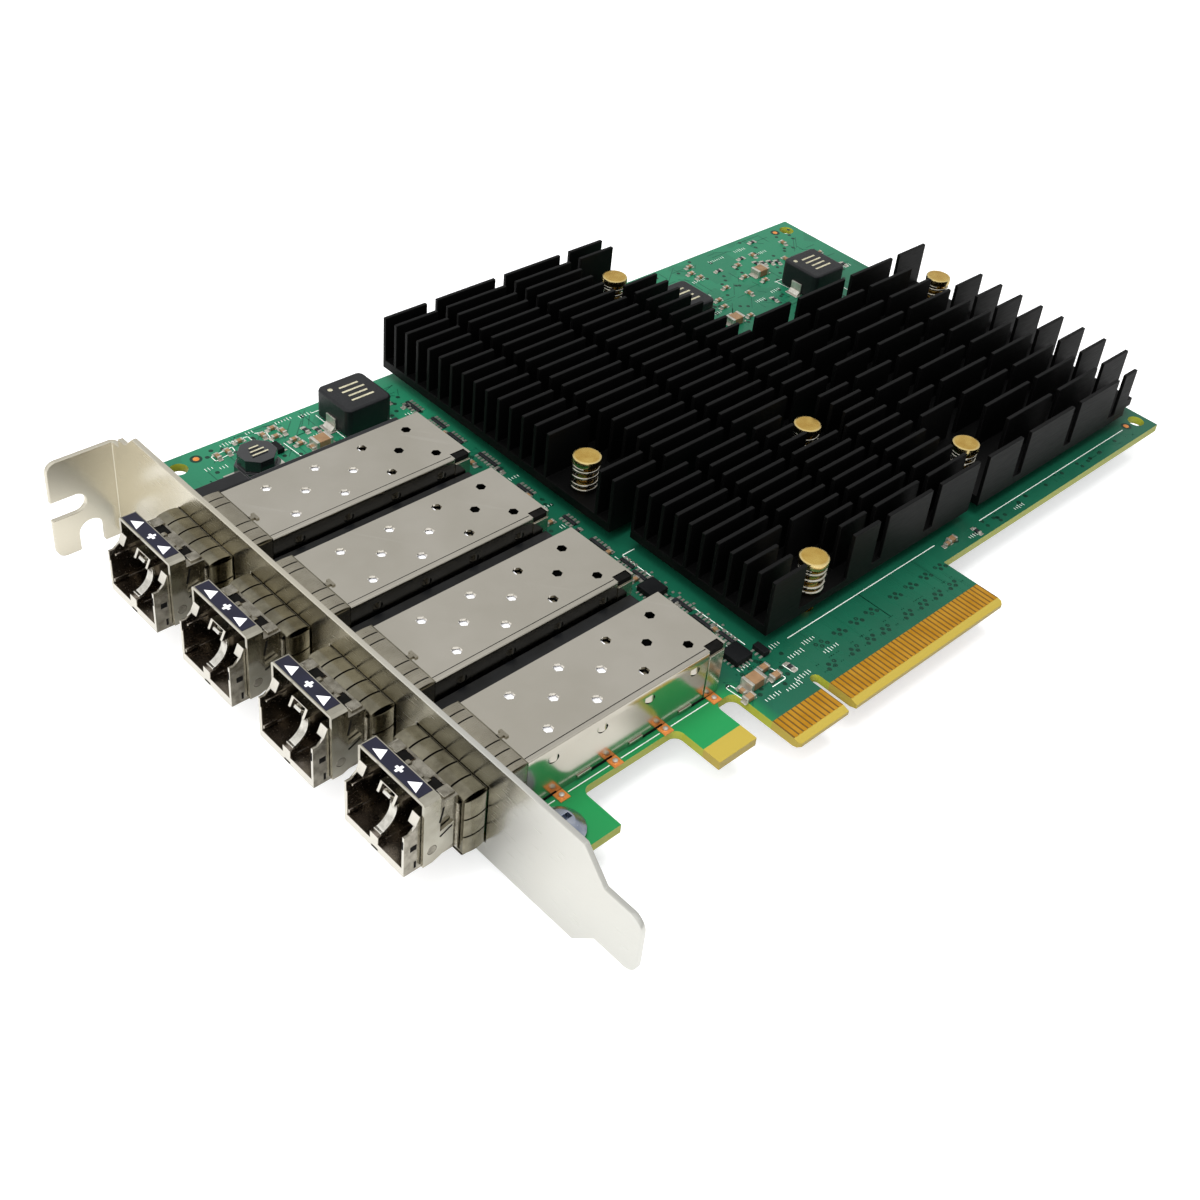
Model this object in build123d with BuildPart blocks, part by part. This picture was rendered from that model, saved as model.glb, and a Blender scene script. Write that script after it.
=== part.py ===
"""Four-port fibre channel adapter: board, bracket, four cages with optical modules, three heat sinks.

Millimetres. X runs from the bracket to the rear edge, Y from the card-edge contacts to the top edge,
Z out of the component side. X = 0 is the key notch of the contact tongue, Y = 0 the lower end of the
contacts, Z = 0 the component face of the board.
"""

import os

from build123d import *

os.makedirs("parts", exist_ok=True)

# Circuit board
BOARD_T = 1.57
BOARD_X0, BOARD_X1 = -57.5, 108.85
BOARD_TOP, BOARD_LOW = 111.15, 12.57
TONGUE_X0, TONGUE_X1 = -12.15, 39.15
KEY_HALF, KEY_TOP = 0.95, 8.45
HOOK_X0, HOOK_X1, HOOK_Y = -24.2, -16.4, 4.8
FOOT_X1, FOOT_Y, SLOT_TOP = -43.0, 5.4, 13.5
SLOT_R = 1.5
BEVEL_Y, BEVEL_Z = 1.25, 0.42
CARD_HOLES = [(-47.4, 108.0), (105.8, 108.0), (106.2, 15.9)]
CARD_HOLE_R = 1.6

# Card-edge contacts
CONTACT_W, CONTACT_T, CONTACT_PITCH = 0.7, 0.04, 1.0
CONTACT_Y0, CONTACT_Y1 = BEVEL_Y, 5.55
SHORT_ROW, LONG_ROW = 11, 38
FIRST_SHORT_X, FIRST_LONG_X = -11.5, 1.5

# Slot bracket
PLATE_X0, PLATE_T = -58.9, 0.86
PLATE_X1 = PLATE_X0 + PLATE_T
PLATE_Z0, PLATE_Z1 = -3.2, 15.2
EAR_X0, EAR_Z0, EAR_Z1 = -70.1, -7.3, 11.1
EAR_Y0, EAR_Y1 = 106.9, 106.9 + PLATE_T
PLATE_LOW, PLATE_HIGH, STEP_Y, STEP_Z = -2.7, EAR_Y1 - 7.26, EAR_Y1 - 2.76, PLATE_Z1 - 2.5
TAB_Y, TAB_Z0, TAB_Z1, TAB_R = -13.6, 0.5, 10.7, 2.2
BEND_R = 1.2
EAR_SLOT_X, EAR_SLOT_Z, EAR_SLOT_R = -66.0, 2.0, 1.75
EAR_NOTCH_X, EAR_NOTCH_W, EAR_NOTCH_D = -63.9, 4.2, 5.2
FOOT_TAB_X, FOOT_TAB_Y0, FOOT_TAB_Y1 = -45.2, 6.4, 13.4
SCREW_X, SCREW_Y = -50.2, 9.9
SCREW_R, SCREW_HEAD_R, SCREW_HEAD_H, SCREW_SIDES = 1.5, 3.7, 2.2, 20
CROSS_L, CROSS_W = 3.4, 0.9

# Cages and collars
PORTS, PORT_PITCH, PORT_TOP_Y = 4, 19.39, 80.46
PORT_Y = [PORT_TOP_Y - PORT_PITCH * i for i in range(PORTS)]
CAGE_W, CAGE_H, CAGE_WALL = 14.1, 9.8, 0.4
CAGE_X0, CAGE_X1 = -62.2, -14.0
COLLAR_X0, COLLAR_X1, COLLAR_T = -62.6, -52.0, 0.25
CAGE_CUT_GAP = 0.15
VENT_R = 0.85
VENT_OUTER_X = [-45.7, -36.7, -27.6, -18.7]
VENT_MIDDLE_X = [-41.2, -32.2, -23.2]
VENT_ROW_Y = 4.0
VENT_SIDES = 6
CORNER_WINDOW = (2.8, 1.5, 1.1)
SOCKET_X0, SOCKET_X1, SOCKET_W, SOCKET_H = -24.2, CAGE_X1 - 0.9, 11.0, 5.6

# Optical modules
BODY_CLEAR, NOSE_STEP = 0.15, 0.25
BODY_X1, BODY_W = -27.0, CAGE_W - 2 * CAGE_WALL - 2 * BODY_CLEAR
BODY_Z0, BODY_Z1 = CAGE_WALL + 0.35, CAGE_H - CAGE_WALL - 0.3
NOSE_X0, NOSE_X1, NOSE_W = -71.4, -62.9, BODY_W - 2 * NOSE_STEP
NOSE_Z0, NOSE_Z1, NOSE_WALL, MIDDLE_WALL = 1.1, CAGE_H + 1.0, 0.4, 1.3
LC_W = (NOSE_W - 2 * NOSE_WALL - MIDDLE_WALL) / 2
LC_PITCH, LC_Z0, LC_Z1, LC_X1 = LC_W + MIDDLE_WALL, NOSE_Z0 + 1.4, NOSE_Z1 - 1.5, NOSE_X1 + 1.9
KEYWAY_W, KEYWAY_X1 = 2.9, NOSE_X1 - 0.4
LIP_X, LIP_Z, LIP_BACK_X = NOSE_X0 + 0.8, NOSE_Z1 - 2.3, NOSE_X0 + 2.4
CARD_W, CARD_T, CARD_Z, CARD_X0, CARD_X1 = 9.2, 1.0, 3.6, -40.0, SOCKET_X1 - 2.3
SLEEVE_R, SLEEVE_BORE_R, SLEEVE_X0, SLEEVE_DEPTH = 1.45, 0.65, NOSE_X0 + 4.9, 4.0
SLEEVE_SIDES, BORE_SIDES = 12, 6

# Bails
BAIL_T, BAIL_GAP = 0.5, 0.12
BAIL_X0, BAIL_X1 = NOSE_X0 + 2.6, NOSE_X0 + 5.2
BAIL_TOP, BAIL_LOW = NOSE_Z1 + 2.4, NOSE_Z0 + 0.4
BAIL_FOOT_X, BAIL_FOOT_Z0, BAIL_FOOT_Z1 = NOSE_X0 + 7.4, BAIL_LOW + 1.3, BAIL_LOW + 5.1
PIVOT_X, PIVOT_Z, PIVOT_R, PIVOT_CLEAR = NOSE_X0 + 4.0, NOSE_Z0 + 2.9, 0.7, 0.05

# Heat sinks: left, right, lower, upper, number of fins, columns, pins and pin pockets
SINK_BASE_Z0, SINK_BASE_Z1, FIN_TOP, FIN_T = 2.2, 3.9, 12.7, 0.7
FAR = dict(
    label="heat_sink_upper", x=(-3.2, 50.0), y=(50.6, 111.3), fins=20,
    gaps=[(6.2, 8.5), (22.4, 24.9), (38.8, 41.3)],
    pockets=[(-3.3, 6.3, 56.4, 65.4), (41.2, 50.1, 97.4, 106.4)],
    pins=[(0.5, 60.9), (45.5, 101.9)], chip=(23.4, 80.9, 33.0),
)
NEAR = dict(
    label="heat_sink_lower", x=(-1.2, 51.6), y=(17.4, 47.8), fins=11,
    gaps=[(10.3, 12.7), (24.3, 26.6), (38.2, 40.6)],
    pockets=[(6.2, 17.8, 17.3, 25.4), (33.4, 43.6, 40.4, 47.9)],
    pins=[(11.4, 20.0), (38.5, 45.1)], chip=(25.2, 32.6, 23.0),
)
REAR = dict(
    label="heat_sink_rear", x=(54.2, 106.8), y=(17.2, 72.9), fins=12,
    gaps=[(64.2, 66.7), (80.5, 82.8), (95.8, 98.1)],
    pockets=[(54.1, 64.3, 20.8, 30.4), (98.0, 106.9, 59.8, 69.6)],
    pins=[(57.6, 24.4), (102.2, 64.6)], chip=(80.5, 45.0, 31.0), corner=(102.1, 17.1, 18.4),
)
SINKS = [FAR, NEAR, REAR]
CHIP_H, PAD_H = 1.7, 0.5
PIN_HOLE_R, PIN_R, PIN_HEAD_R, PIN_HEAD_Z0, PIN_HEAD_Z1 = 1.55, 1.25, 2.5, 9.0, 10.3
PIN_BARB_R, PIN_BARB_Z, PIN_SIDES, PIN_HEAD_SIDES = 1.75, -3.6, 12, 20
SPRING_R, SPRING_WIRE_R, SPRING_TURNS, SPRING_STEPS = 2.15, 0.28, 4.5, 8

# Small parts on the board
COILS = [(-15.4, 103.3), (57.4, 94.0), (91.0, 88.0)]
COIL_W, COIL_H = 9.5, 5.9
SHIELDED = (-37.6, 99.6)
SHIELDED_W, SHIELDED_H = 7.2, 4.6
BIG_CAPS = [(-8.7, 12.7), (-24.5, 100.2), (85.6, 97.8), (66.4, 87.1)]
BIG_CAP_L, BIG_CAP_W, BIG_CAP_H = 3.2, 2.3, 1.6
LITTLE_CAPS = [(-5.2, 13.9), (-4.9, 11.6), (-11.6, 10.9), (44.7, 15.3)]
LITTLE_CAP_L, LITTLE_CAP_W, LITTLE_CAP_H = 1.9, 1.1, 0.9
SMALL_CHIPS = [(-6.3, 18.5), (-5.9, 37.4)]
SMALL_CHIP_W, SMALL_CHIP_H = 3.6, 1.2
PRESS_X = [-45.9, -35.8, -25.8, -15.6]
PRESS_W, PRESS_H = 1.8, 0.15
PRESS_Y = PORT_Y[-1] - CAGE_W / 2 - PRESS_W / 2 - 0.05
PIPE_GAP = 0.14
PIPE_X0, PIPE_X1, PIPE_H = -56.2, CAGE_X1 - 0.6, 6.4
PIPE_W = PORT_PITCH - CAGE_W - 2 * COLLAR_T - 2 * PIPE_GAP


def save(part, label):
    """Name one finished sub-part and write it as its own file."""
    part.label = label
    export_step(part, f"parts/{label}.step")


# Circuit board with contact tongue, hook and bracket foot
with BuildPart() as circuit_board:
    with BuildSketch(Plane.XY.offset(-BOARD_T)) as outline:
        with BuildLine():
            Polyline(
                (BOARD_X0, FOOT_Y), (FOOT_X1, FOOT_Y), (FOOT_X1, SLOT_TOP), (HOOK_X0, SLOT_TOP),
                (HOOK_X0, HOOK_Y), (HOOK_X1, HOOK_Y), (HOOK_X1, SLOT_TOP), (TONGUE_X0, SLOT_TOP),
                (TONGUE_X0, 0), (TONGUE_X1, 0), (TONGUE_X1, BOARD_LOW), (BOARD_X1, BOARD_LOW),
                (BOARD_X1, BOARD_TOP), (BOARD_X0, BOARD_TOP), close=True,
            )
        make_face()
        fillet(outline.vertices().filter_by_position(Axis.Y, SLOT_TOP - 0.1, SLOT_TOP + 0.1), radius=SLOT_R)
        chamfer(outline.vertices().filter_by_position(Axis.Y, -0.1, 0.1), length=0.5)
        with Locations((0, KEY_TOP / 2 - 1)):
            Rectangle(2 * KEY_HALF, KEY_TOP + 2 - 2 * KEY_HALF, mode=Mode.SUBTRACT)
        with Locations((0, KEY_TOP - KEY_HALF)):
            Circle(KEY_HALF, mode=Mode.SUBTRACT)
        with Locations(*CARD_HOLES):
            Circle(CARD_HOLE_R, mode=Mode.SUBTRACT)
        with Locations(*[pin for sink in SINKS for pin in sink["pins"]]):
            RegularPolygon(PIN_HOLE_R, PIN_SIDES, mode=Mode.SUBTRACT)
        with Locations((SCREW_X, SCREW_Y)):
            RegularPolygon(SCREW_R + 0.15, SCREW_SIDES, mode=Mode.SUBTRACT)
    extrude(amount=BOARD_T)
    with BuildSketch(Plane.YZ.offset(TONGUE_X0 - 1)):
        with BuildLine():
            Polyline((-1, 0.5), (-1, -BEVEL_Z), (0, -BEVEL_Z), (BEVEL_Y, 0), (BEVEL_Y, 0.5), close=True)
        make_face()
        with BuildLine():
            Polyline(
                (-1, -BOARD_T - 0.5), (-1, BEVEL_Z - BOARD_T), (0, BEVEL_Z - BOARD_T),
                (BEVEL_Y, -BOARD_T), (BEVEL_Y, -BOARD_T - 0.5), close=True,
            )
        make_face()
    extrude(amount=TONGUE_X1 - TONGUE_X0 + 2, mode=Mode.SUBTRACT)
save(circuit_board.part, "circuit_board")

# Gold contacts on both faces of the tongue
contact_x = [FIRST_SHORT_X + i * CONTACT_PITCH for i in range(SHORT_ROW)]
contact_x += [FIRST_LONG_X + i * CONTACT_PITCH for i in range(LONG_ROW)]
contact_y = (CONTACT_Y0 + CONTACT_Y1) / 2
with BuildPart() as edge_contacts:
    with Locations(*[(x, contact_y, CONTACT_T / 2) for x in contact_x]):
        Box(CONTACT_W, CONTACT_Y1 - CONTACT_Y0, CONTACT_T)
    with Locations(*[(x, contact_y, -BOARD_T - CONTACT_T / 2) for x in contact_x]):
        Box(CONTACT_W, CONTACT_Y1 - CONTACT_Y0, CONTACT_T)
save(edge_contacts.part, "edge_contacts")

# Slot bracket: plate, screw ear, lower tab and the threaded foot tab behind the board
with BuildPart() as bracket:
    with BuildSketch(Plane.YZ.offset(PLATE_X0)) as face:
        with BuildLine():
            Polyline(
                (PLATE_LOW, PLATE_Z1), (PLATE_HIGH, PLATE_Z1), (PLATE_HIGH + 2.5, STEP_Z), (STEP_Y, STEP_Z),
                (STEP_Y, EAR_Z1), (EAR_Y1, EAR_Z1), (EAR_Y1, EAR_Z0), (STEP_Y - 0.4, EAR_Z0),
                (STEP_Y - 0.4, PLATE_Z0), (PLATE_LOW + 0.2, PLATE_Z0), (PLATE_LOW - 3.5, TAB_Z0),
                (TAB_Y, TAB_Z0), (TAB_Y, TAB_Z1), (PLATE_LOW - 4.1, TAB_Z1), close=True,
            )
        make_face()
        fillet(face.vertices().filter_by_position(Axis.X, TAB_Y - 0.1, TAB_Y + 0.1), radius=TAB_R)
        with Locations(*[(y, CAGE_H / 2) for y in PORT_Y]):
            Rectangle(CAGE_W + 2 * COLLAR_T + 2 * CAGE_CUT_GAP, CAGE_H + 2 * COLLAR_T + 2 * CAGE_CUT_GAP,
                      mode=Mode.SUBTRACT)
    extrude(amount=PLATE_T)
    with BuildSketch(Plane.XZ.offset(-EAR_Y1)) as ear:
        with Locations(((EAR_X0 + PLATE_X1) / 2, (EAR_Z0 + EAR_Z1) / 2)):
            Rectangle(PLATE_X1 - EAR_X0, EAR_Z1 - EAR_Z0)
        fillet(ear.vertices().group_by(Axis.X)[0], radius=1.8)
        with Locations((EAR_SLOT_X, EAR_SLOT_Z)):
            Circle(EAR_SLOT_R, mode=Mode.SUBTRACT)
        with Locations((EAR_SLOT_X - 4, EAR_SLOT_Z)):
            Rectangle(8, 2 * EAR_SLOT_R, mode=Mode.SUBTRACT)
        with Locations((EAR_NOTCH_X, EAR_Z0 + EAR_NOTCH_D - EAR_NOTCH_W / 2)):
            Circle(EAR_NOTCH_W / 2, mode=Mode.SUBTRACT)
        with Locations((EAR_NOTCH_X, EAR_Z0)):
            Rectangle(EAR_NOTCH_W, 2 * EAR_NOTCH_D - EAR_NOTCH_W, mode=Mode.SUBTRACT)
    extrude(amount=PLATE_T)
    fillet(bracket.edges().filter_by(Axis.Z).filter_by_position(Axis.X, PLATE_X1 - 0.05, PLATE_X1 + 0.05)
           .filter_by_position(Axis.Y, EAR_Y1 - 0.05, EAR_Y1 + 0.05), radius=BEND_R)
    with BuildSketch(Plane.XY.offset(-BOARD_T - PLATE_T)):
        with Locations(((PLATE_X1 - 0.2 + FOOT_TAB_X) / 2, (FOOT_TAB_Y0 + FOOT_TAB_Y1) / 2)):
            Rectangle(FOOT_TAB_X - PLATE_X1 + 0.2, FOOT_TAB_Y1 - FOOT_TAB_Y0)
        with Locations((SCREW_X, SCREW_Y)):
            RegularPolygon(SCREW_R, SCREW_SIDES, mode=Mode.SUBTRACT)
    extrude(amount=PLATE_T)
save(bracket.part, "bracket")

# Pan-head screw clamping the board foot to the foot tab
with BuildPart() as bracket_screw:
    with BuildSketch(Plane.XY):
        with Locations((SCREW_X, SCREW_Y)):
            RegularPolygon(SCREW_HEAD_R, SCREW_SIDES)
    extrude(amount=SCREW_HEAD_H * 0.35)
    with BuildSketch(Plane.XY.offset(SCREW_HEAD_H * 0.35)):
        with Locations((SCREW_X, SCREW_Y)):
            RegularPolygon(SCREW_HEAD_R, SCREW_SIDES)
    extrude(amount=SCREW_HEAD_H * 0.65, taper=50)
    with BuildSketch(Plane.XY.offset(-BOARD_T - PLATE_T - 0.8)):
        with Locations((SCREW_X, SCREW_Y)):
            RegularPolygon(SCREW_R, SCREW_SIDES)
    extrude(amount=BOARD_T + PLATE_T + 0.9)
    with BuildSketch(Plane.XY.offset(SCREW_HEAD_H - 1.2)):
        with Locations((SCREW_X, SCREW_Y)):
            Rectangle(CROSS_L, CROSS_W)
            Rectangle(CROSS_W, CROSS_L)
    extrude(amount=1.3, mode=Mode.SUBTRACT)
save(bracket_screw.part, "bracket_screw")

# Heat sinks: comb drawn across the fins, cut into columns, with pockets round the push pins; the rear
# one has a corner cut away where it would cover the card hole
for sink in SINKS:
    (left, right), (low, high) = sink["x"], sink["y"]
    pitch = (high - low - FIN_T) / (sink["fins"] - 1)
    rows = [low + FIN_T / 2 + pitch * i for i in range(sink["fins"])]
    with BuildPart() as heat_sink:
        with BuildSketch(Plane.YZ.offset(left)):
            with Locations(((low + high) / 2, (SINK_BASE_Z0 + SINK_BASE_Z1) / 2)):
                Rectangle(high - low, SINK_BASE_Z1 - SINK_BASE_Z0)
            with Locations(*[(y, (SINK_BASE_Z0 + FIN_TOP) / 2) for y in rows]):
                Rectangle(FIN_T, FIN_TOP - SINK_BASE_Z0)
        extrude(amount=right - left)
        with BuildSketch(Plane.XY.offset(SINK_BASE_Z1)):
            for x0, x1 in sink["gaps"]:
                with Locations(((x0 + x1) / 2, (low + high) / 2)):
                    Rectangle(x1 - x0, high - low + 2)
            for x0, x1, y0, y1 in sink["pockets"]:
                with Locations(((x0 + x1) / 2, (y0 + y1) / 2)):
                    Rectangle(x1 - x0, y1 - y0)
        extrude(amount=FIN_TOP, mode=Mode.SUBTRACT)
        with BuildSketch(Plane.XY.offset(SINK_BASE_Z0 - 1)):
            with Locations(*sink["pins"]):
                RegularPolygon(PIN_HOLE_R, PIN_SIDES)
        extrude(amount=SINK_BASE_Z1 - SINK_BASE_Z0 + 2, mode=Mode.SUBTRACT)
        if "corner" in sink:
            x0, y0, y1 = sink["corner"]
            with Locations(((x0 + right + 1) / 2, (y0 + y1) / 2, (SINK_BASE_Z0 + FIN_TOP) / 2)):
                Box(right + 1 - x0, y1 - y0, FIN_TOP, mode=Mode.SUBTRACT)
    save(heat_sink.part, sink["label"])

# Controller packages under the heat sinks, with the pads that carry the heat up
for sink, label in zip(SINKS, ("controller_upper", "controller_lower", "controller_rear")):
    x, y, width = sink["chip"]
    with BuildPart() as controller:
        with BuildSketch(Plane.XY):
            with Locations((x, y)):
                Rectangle(width, width)
        extrude(amount=CHIP_H)
    save(controller.part, label)

with BuildPart() as thermal_pads:
    for sink in SINKS:
        x, y, width = sink["chip"]
        with BuildSketch(Plane.XY.offset(CHIP_H)):
            with Locations((x, y)):
                Rectangle(width - 4, width - 4)
        extrude(amount=PAD_H)
save(thermal_pads.part, "thermal_pads")

# Push pins: brass head, shaft through sink and board, barbed end below
pin_points = [pin for sink in SINKS for pin in sink["pins"]]
with BuildPart(mode=Mode.PRIVATE) as one_pin:
    with BuildSketch(Plane.XY.offset(PIN_HEAD_Z0)):
        RegularPolygon(PIN_HEAD_R, PIN_HEAD_SIDES)
    extrude(amount=PIN_HEAD_Z1 - PIN_HEAD_Z0)
    with BuildSketch(Plane.XY.offset(-BOARD_T)):
        RegularPolygon(PIN_R, PIN_SIDES)
    extrude(amount=PIN_HEAD_Z0 + BOARD_T)
    with BuildSketch(Plane.XY.offset(-BOARD_T)):
        RegularPolygon(PIN_BARB_R, PIN_SIDES)
    extrude(amount=PIN_BARB_Z + BOARD_T, taper=28)
with BuildPart() as push_pins:
    with Locations(*pin_points):
        add(one_pin.part)
save(push_pins.part, "push_pins")

# Coil springs between heat sink base and pin heads
spring_z0 = SINK_BASE_Z1 + SPRING_WIRE_R
spring_h = PIN_HEAD_Z0 - SPRING_WIRE_R - spring_z0
spring_steps = round(SPRING_TURNS * SPRING_STEPS)
spring_line = [
    Vector(SPRING_R, 0, spring_h * i / spring_steps).rotate(Axis.Z, 360 * i / SPRING_STEPS)
    for i in range(spring_steps + 1)
]
with BuildPart(mode=Mode.PRIVATE) as one_spring:
    with BuildLine() as coil:
        Polyline(*spring_line)
    with BuildSketch(Plane(origin=coil.line @ 0, z_dir=coil.line % 0)):
        RegularPolygon(SPRING_WIRE_R, 4)
    sweep(transition=Transition.RIGHT)
with BuildPart() as pin_springs:
    with Locations(*[(x, y, spring_z0) for x, y in pin_points]):
        add(one_spring.part)
save(pin_springs.part, "pin_springs")

# Pressed steel cages: folded box, open at the front and under the host connector
for number, yc in enumerate(PORT_Y, start=1):
    with BuildPart() as cage:
        with BuildSketch(Plane.YZ.offset(CAGE_X0)):
            with Locations((yc, CAGE_H / 2)):
                Rectangle(CAGE_W, CAGE_H)
                Rectangle(CAGE_W - 2 * CAGE_WALL, CAGE_H - 2 * CAGE_WALL, mode=Mode.SUBTRACT)
        extrude(amount=CAGE_X1 - CAGE_X0)
        with BuildSketch(Plane.YZ.offset(CAGE_X1 - CAGE_WALL)):
            with Locations((yc, CAGE_H / 2)):
                Rectangle(CAGE_W, CAGE_H)
        extrude(amount=CAGE_WALL)
        with BuildSketch(Plane.XY.offset(-1)):
            with Locations(((SOCKET_X0 - 1 + CAGE_X1) / 2, yc)):
                Rectangle(CAGE_X1 - SOCKET_X0 + 1.2, CAGE_W - 2 * CAGE_WALL)
        extrude(amount=CAGE_WALL + 1, mode=Mode.SUBTRACT)
        with BuildSketch(Plane.XY.offset(CAGE_H - CAGE_WALL - 0.2)):
            with Locations(*[(x, yc + side * VENT_ROW_Y) for x in VENT_OUTER_X for side in (-1, 1)]):
                RegularPolygon(VENT_R, VENT_SIDES, rotation=180 / VENT_SIDES)
            with Locations(*[(x, yc) for x in VENT_MIDDLE_X]):
                RegularPolygon(VENT_R, VENT_SIDES, rotation=180 / VENT_SIDES)
        extrude(amount=CAGE_WALL + 0.4, mode=Mode.SUBTRACT)
        length, width, depth = CORNER_WINDOW
        window_y = yc - CAGE_W / 2 + width / 2 - 0.1
        with Locations((CAGE_X1 - CAGE_WALL - length / 2, window_y, CAGE_H - depth / 2 + 0.1)):
            Box(length, width, depth, mode=Mode.SUBTRACT)
    save(cage.part, f"cage_{number}")

    with BuildPart() as collar:
        with BuildSketch(Plane.YZ.offset(COLLAR_X0)):
            with Locations((yc, CAGE_H / 2)):
                Rectangle(CAGE_W + 2 * COLLAR_T, CAGE_H + 2 * COLLAR_T)
                Rectangle(CAGE_W, CAGE_H, mode=Mode.SUBTRACT)
        extrude(amount=COLLAR_X1 - COLLAR_X0)
        with BuildSketch(Plane.YZ.offset(COLLAR_X0)):
            with Locations((yc, CAGE_H / 2)):
                Rectangle(CAGE_W + 2 * COLLAR_T, CAGE_H + 2 * COLLAR_T)
                Rectangle(CAGE_W - 2 * CAGE_WALL, CAGE_H - 2 * CAGE_WALL, mode=Mode.SUBTRACT)
        extrude(amount=CAGE_X0 - COLLAR_X0)
        with BuildSketch(Plane.XY.offset(-1)):
            with Locations(((BOARD_X0 - 0.3 + COLLAR_X1) / 2, yc)):
                Rectangle(COLLAR_X1 - BOARD_X0 + 1.0, CAGE_W + 2)
        extrude(amount=1, mode=Mode.SUBTRACT)
    save(collar.part, f"cage_collar_{number}")

    with BuildPart() as housing:
        with BuildSketch(Plane.YZ.offset(NOSE_X1 - 0.1)):
            with Locations((yc, (BODY_Z0 + BODY_Z1) / 2)):
                Rectangle(BODY_W, BODY_Z1 - BODY_Z0)
        extrude(amount=BODY_X1 - NOSE_X1 + 0.1)
        with BuildSketch(Plane.YZ.offset(NOSE_X0)):
            with Locations((yc, (NOSE_Z0 + NOSE_Z1) / 2)):
                Rectangle(NOSE_W, NOSE_Z1 - NOSE_Z0)
        extrude(amount=NOSE_X1 - NOSE_X0)
        with BuildSketch(Plane.XZ.offset(-yc - NOSE_W)):
            with BuildLine():
                Polyline(
                    (NOSE_X0 - 1, NOSE_Z1 + 1), (NOSE_X0 - 1, LIP_Z), (LIP_X, LIP_Z),
                    (LIP_X + 1.0, LIP_Z + 0.9), (LIP_BACK_X, NOSE_Z1), (LIP_BACK_X, NOSE_Z1 + 1), close=True,
                )
            make_face()
        extrude(amount=2 * NOSE_W, mode=Mode.SUBTRACT)
        with BuildSketch(Plane.XZ.offset(-yc - MIDDLE_WALL)):
            with BuildLine():
                Polyline(
                    (NOSE_X0 - 1, NOSE_Z1 + 1), (NOSE_X0 - 1, LC_Z0 + 1.3), (LIP_X, LC_Z0 + 1.3),
                    (LIP_X + 1.9, LC_Z0 + 2.8), (LIP_X + 2.6, LC_Z0 + 4.9), (LIP_X + 2.3, LC_Z0 + 6.7),
                    (LIP_BACK_X - 0.1, NOSE_Z1), (LIP_BACK_X - 0.1, NOSE_Z1 + 1), close=True,
                )
            make_face()
        extrude(amount=2 * MIDDLE_WALL, mode=Mode.SUBTRACT)
        with BuildSketch(Plane.YZ.offset(NOSE_X0 - 1)):
            with Locations(*[(yc + side * LC_PITCH / 2, (LC_Z0 + LC_Z1) / 2) for side in (-1, 1)]):
                Rectangle(LC_W, LC_Z1 - LC_Z0)
        extrude(amount=LC_X1 - NOSE_X0 + 1, mode=Mode.SUBTRACT)
        with BuildSketch(Plane.YZ.offset(NOSE_X0 - 1)):
            with Locations(*[(yc + side * LC_PITCH / 2, LC_Z1 + 1) for side in (-1, 1)]):
                Rectangle(KEYWAY_W, 3)
        extrude(amount=KEYWAY_X1 - NOSE_X0 + 1, mode=Mode.SUBTRACT)
        with BuildSketch(Plane.YZ.offset(LC_X1 - 1)):
            with Locations(*[(yc + side * LC_PITCH / 2, (LC_Z0 + LC_Z1) / 2) for side in (-1, 1)]):
                RegularPolygon(SLEEVE_R, SLEEVE_SIDES)
        extrude(amount=SLEEVE_DEPTH + 1, mode=Mode.SUBTRACT)
        with BuildSketch(Plane.YZ.offset(CARD_X0)):
            with Locations((yc, (BODY_Z0 + BODY_Z1) / 2)):
                Rectangle(BODY_W - 1.6, BODY_Z1 - BODY_Z0 - 1.6)
        extrude(amount=BODY_X1 - CARD_X0 + 1, mode=Mode.SUBTRACT)
        with BuildSketch(Plane.XZ.offset(-yc - NOSE_W / 2 - BAIL_GAP - BAIL_T)):
            with Locations((PIVOT_X, PIVOT_Z)):
                Circle(PIVOT_R)
        extrude(amount=NOSE_W / 2 - LC_PITCH / 2 - LC_W / 2 + BAIL_GAP + BAIL_T)
        with BuildSketch(Plane.XZ.offset(-yc + NOSE_W / 2 + BAIL_GAP + BAIL_T)):
            with Locations((PIVOT_X, PIVOT_Z)):
                Circle(PIVOT_R)
        extrude(amount=-(NOSE_W / 2 - LC_PITCH / 2 - LC_W / 2 + BAIL_GAP + BAIL_T))
    save(housing.part, f"module_housing_{number}")

    with BuildPart() as module_card:
        with BuildSketch(Plane.XY.offset(CARD_Z)):
            with Locations(((CARD_X0 + 0.2 + CARD_X1) / 2, yc)):
                Rectangle(CARD_X1 - CARD_X0 - 0.2, CARD_W)
        extrude(amount=CARD_T)
        with BuildSketch(Plane.XY.offset(BODY_Z0 + 0.8)):
            with Locations((BODY_X1 - 3, yc - CARD_W / 2 + 0.6), (BODY_X1 - 3, yc + CARD_W / 2 - 0.6)):
                Rectangle(4, 1.2)
        extrude(amount=CARD_Z - BODY_Z0 - 0.8)
    save(module_card.part, f"module_board_{number}")

    with BuildPart() as optics:
        with BuildSketch(Plane.YZ.offset(SLEEVE_X0)):
            with Locations(*[(yc + side * LC_PITCH / 2, (LC_Z0 + LC_Z1) / 2) for side in (-1, 1)]):
                RegularPolygon(SLEEVE_R, SLEEVE_SIDES)
                RegularPolygon(SLEEVE_BORE_R, BORE_SIDES, mode=Mode.SUBTRACT)
        extrude(amount=LC_X1 - SLEEVE_X0 + SLEEVE_DEPTH)
    save(optics.part, f"module_optics_{number}")

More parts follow.
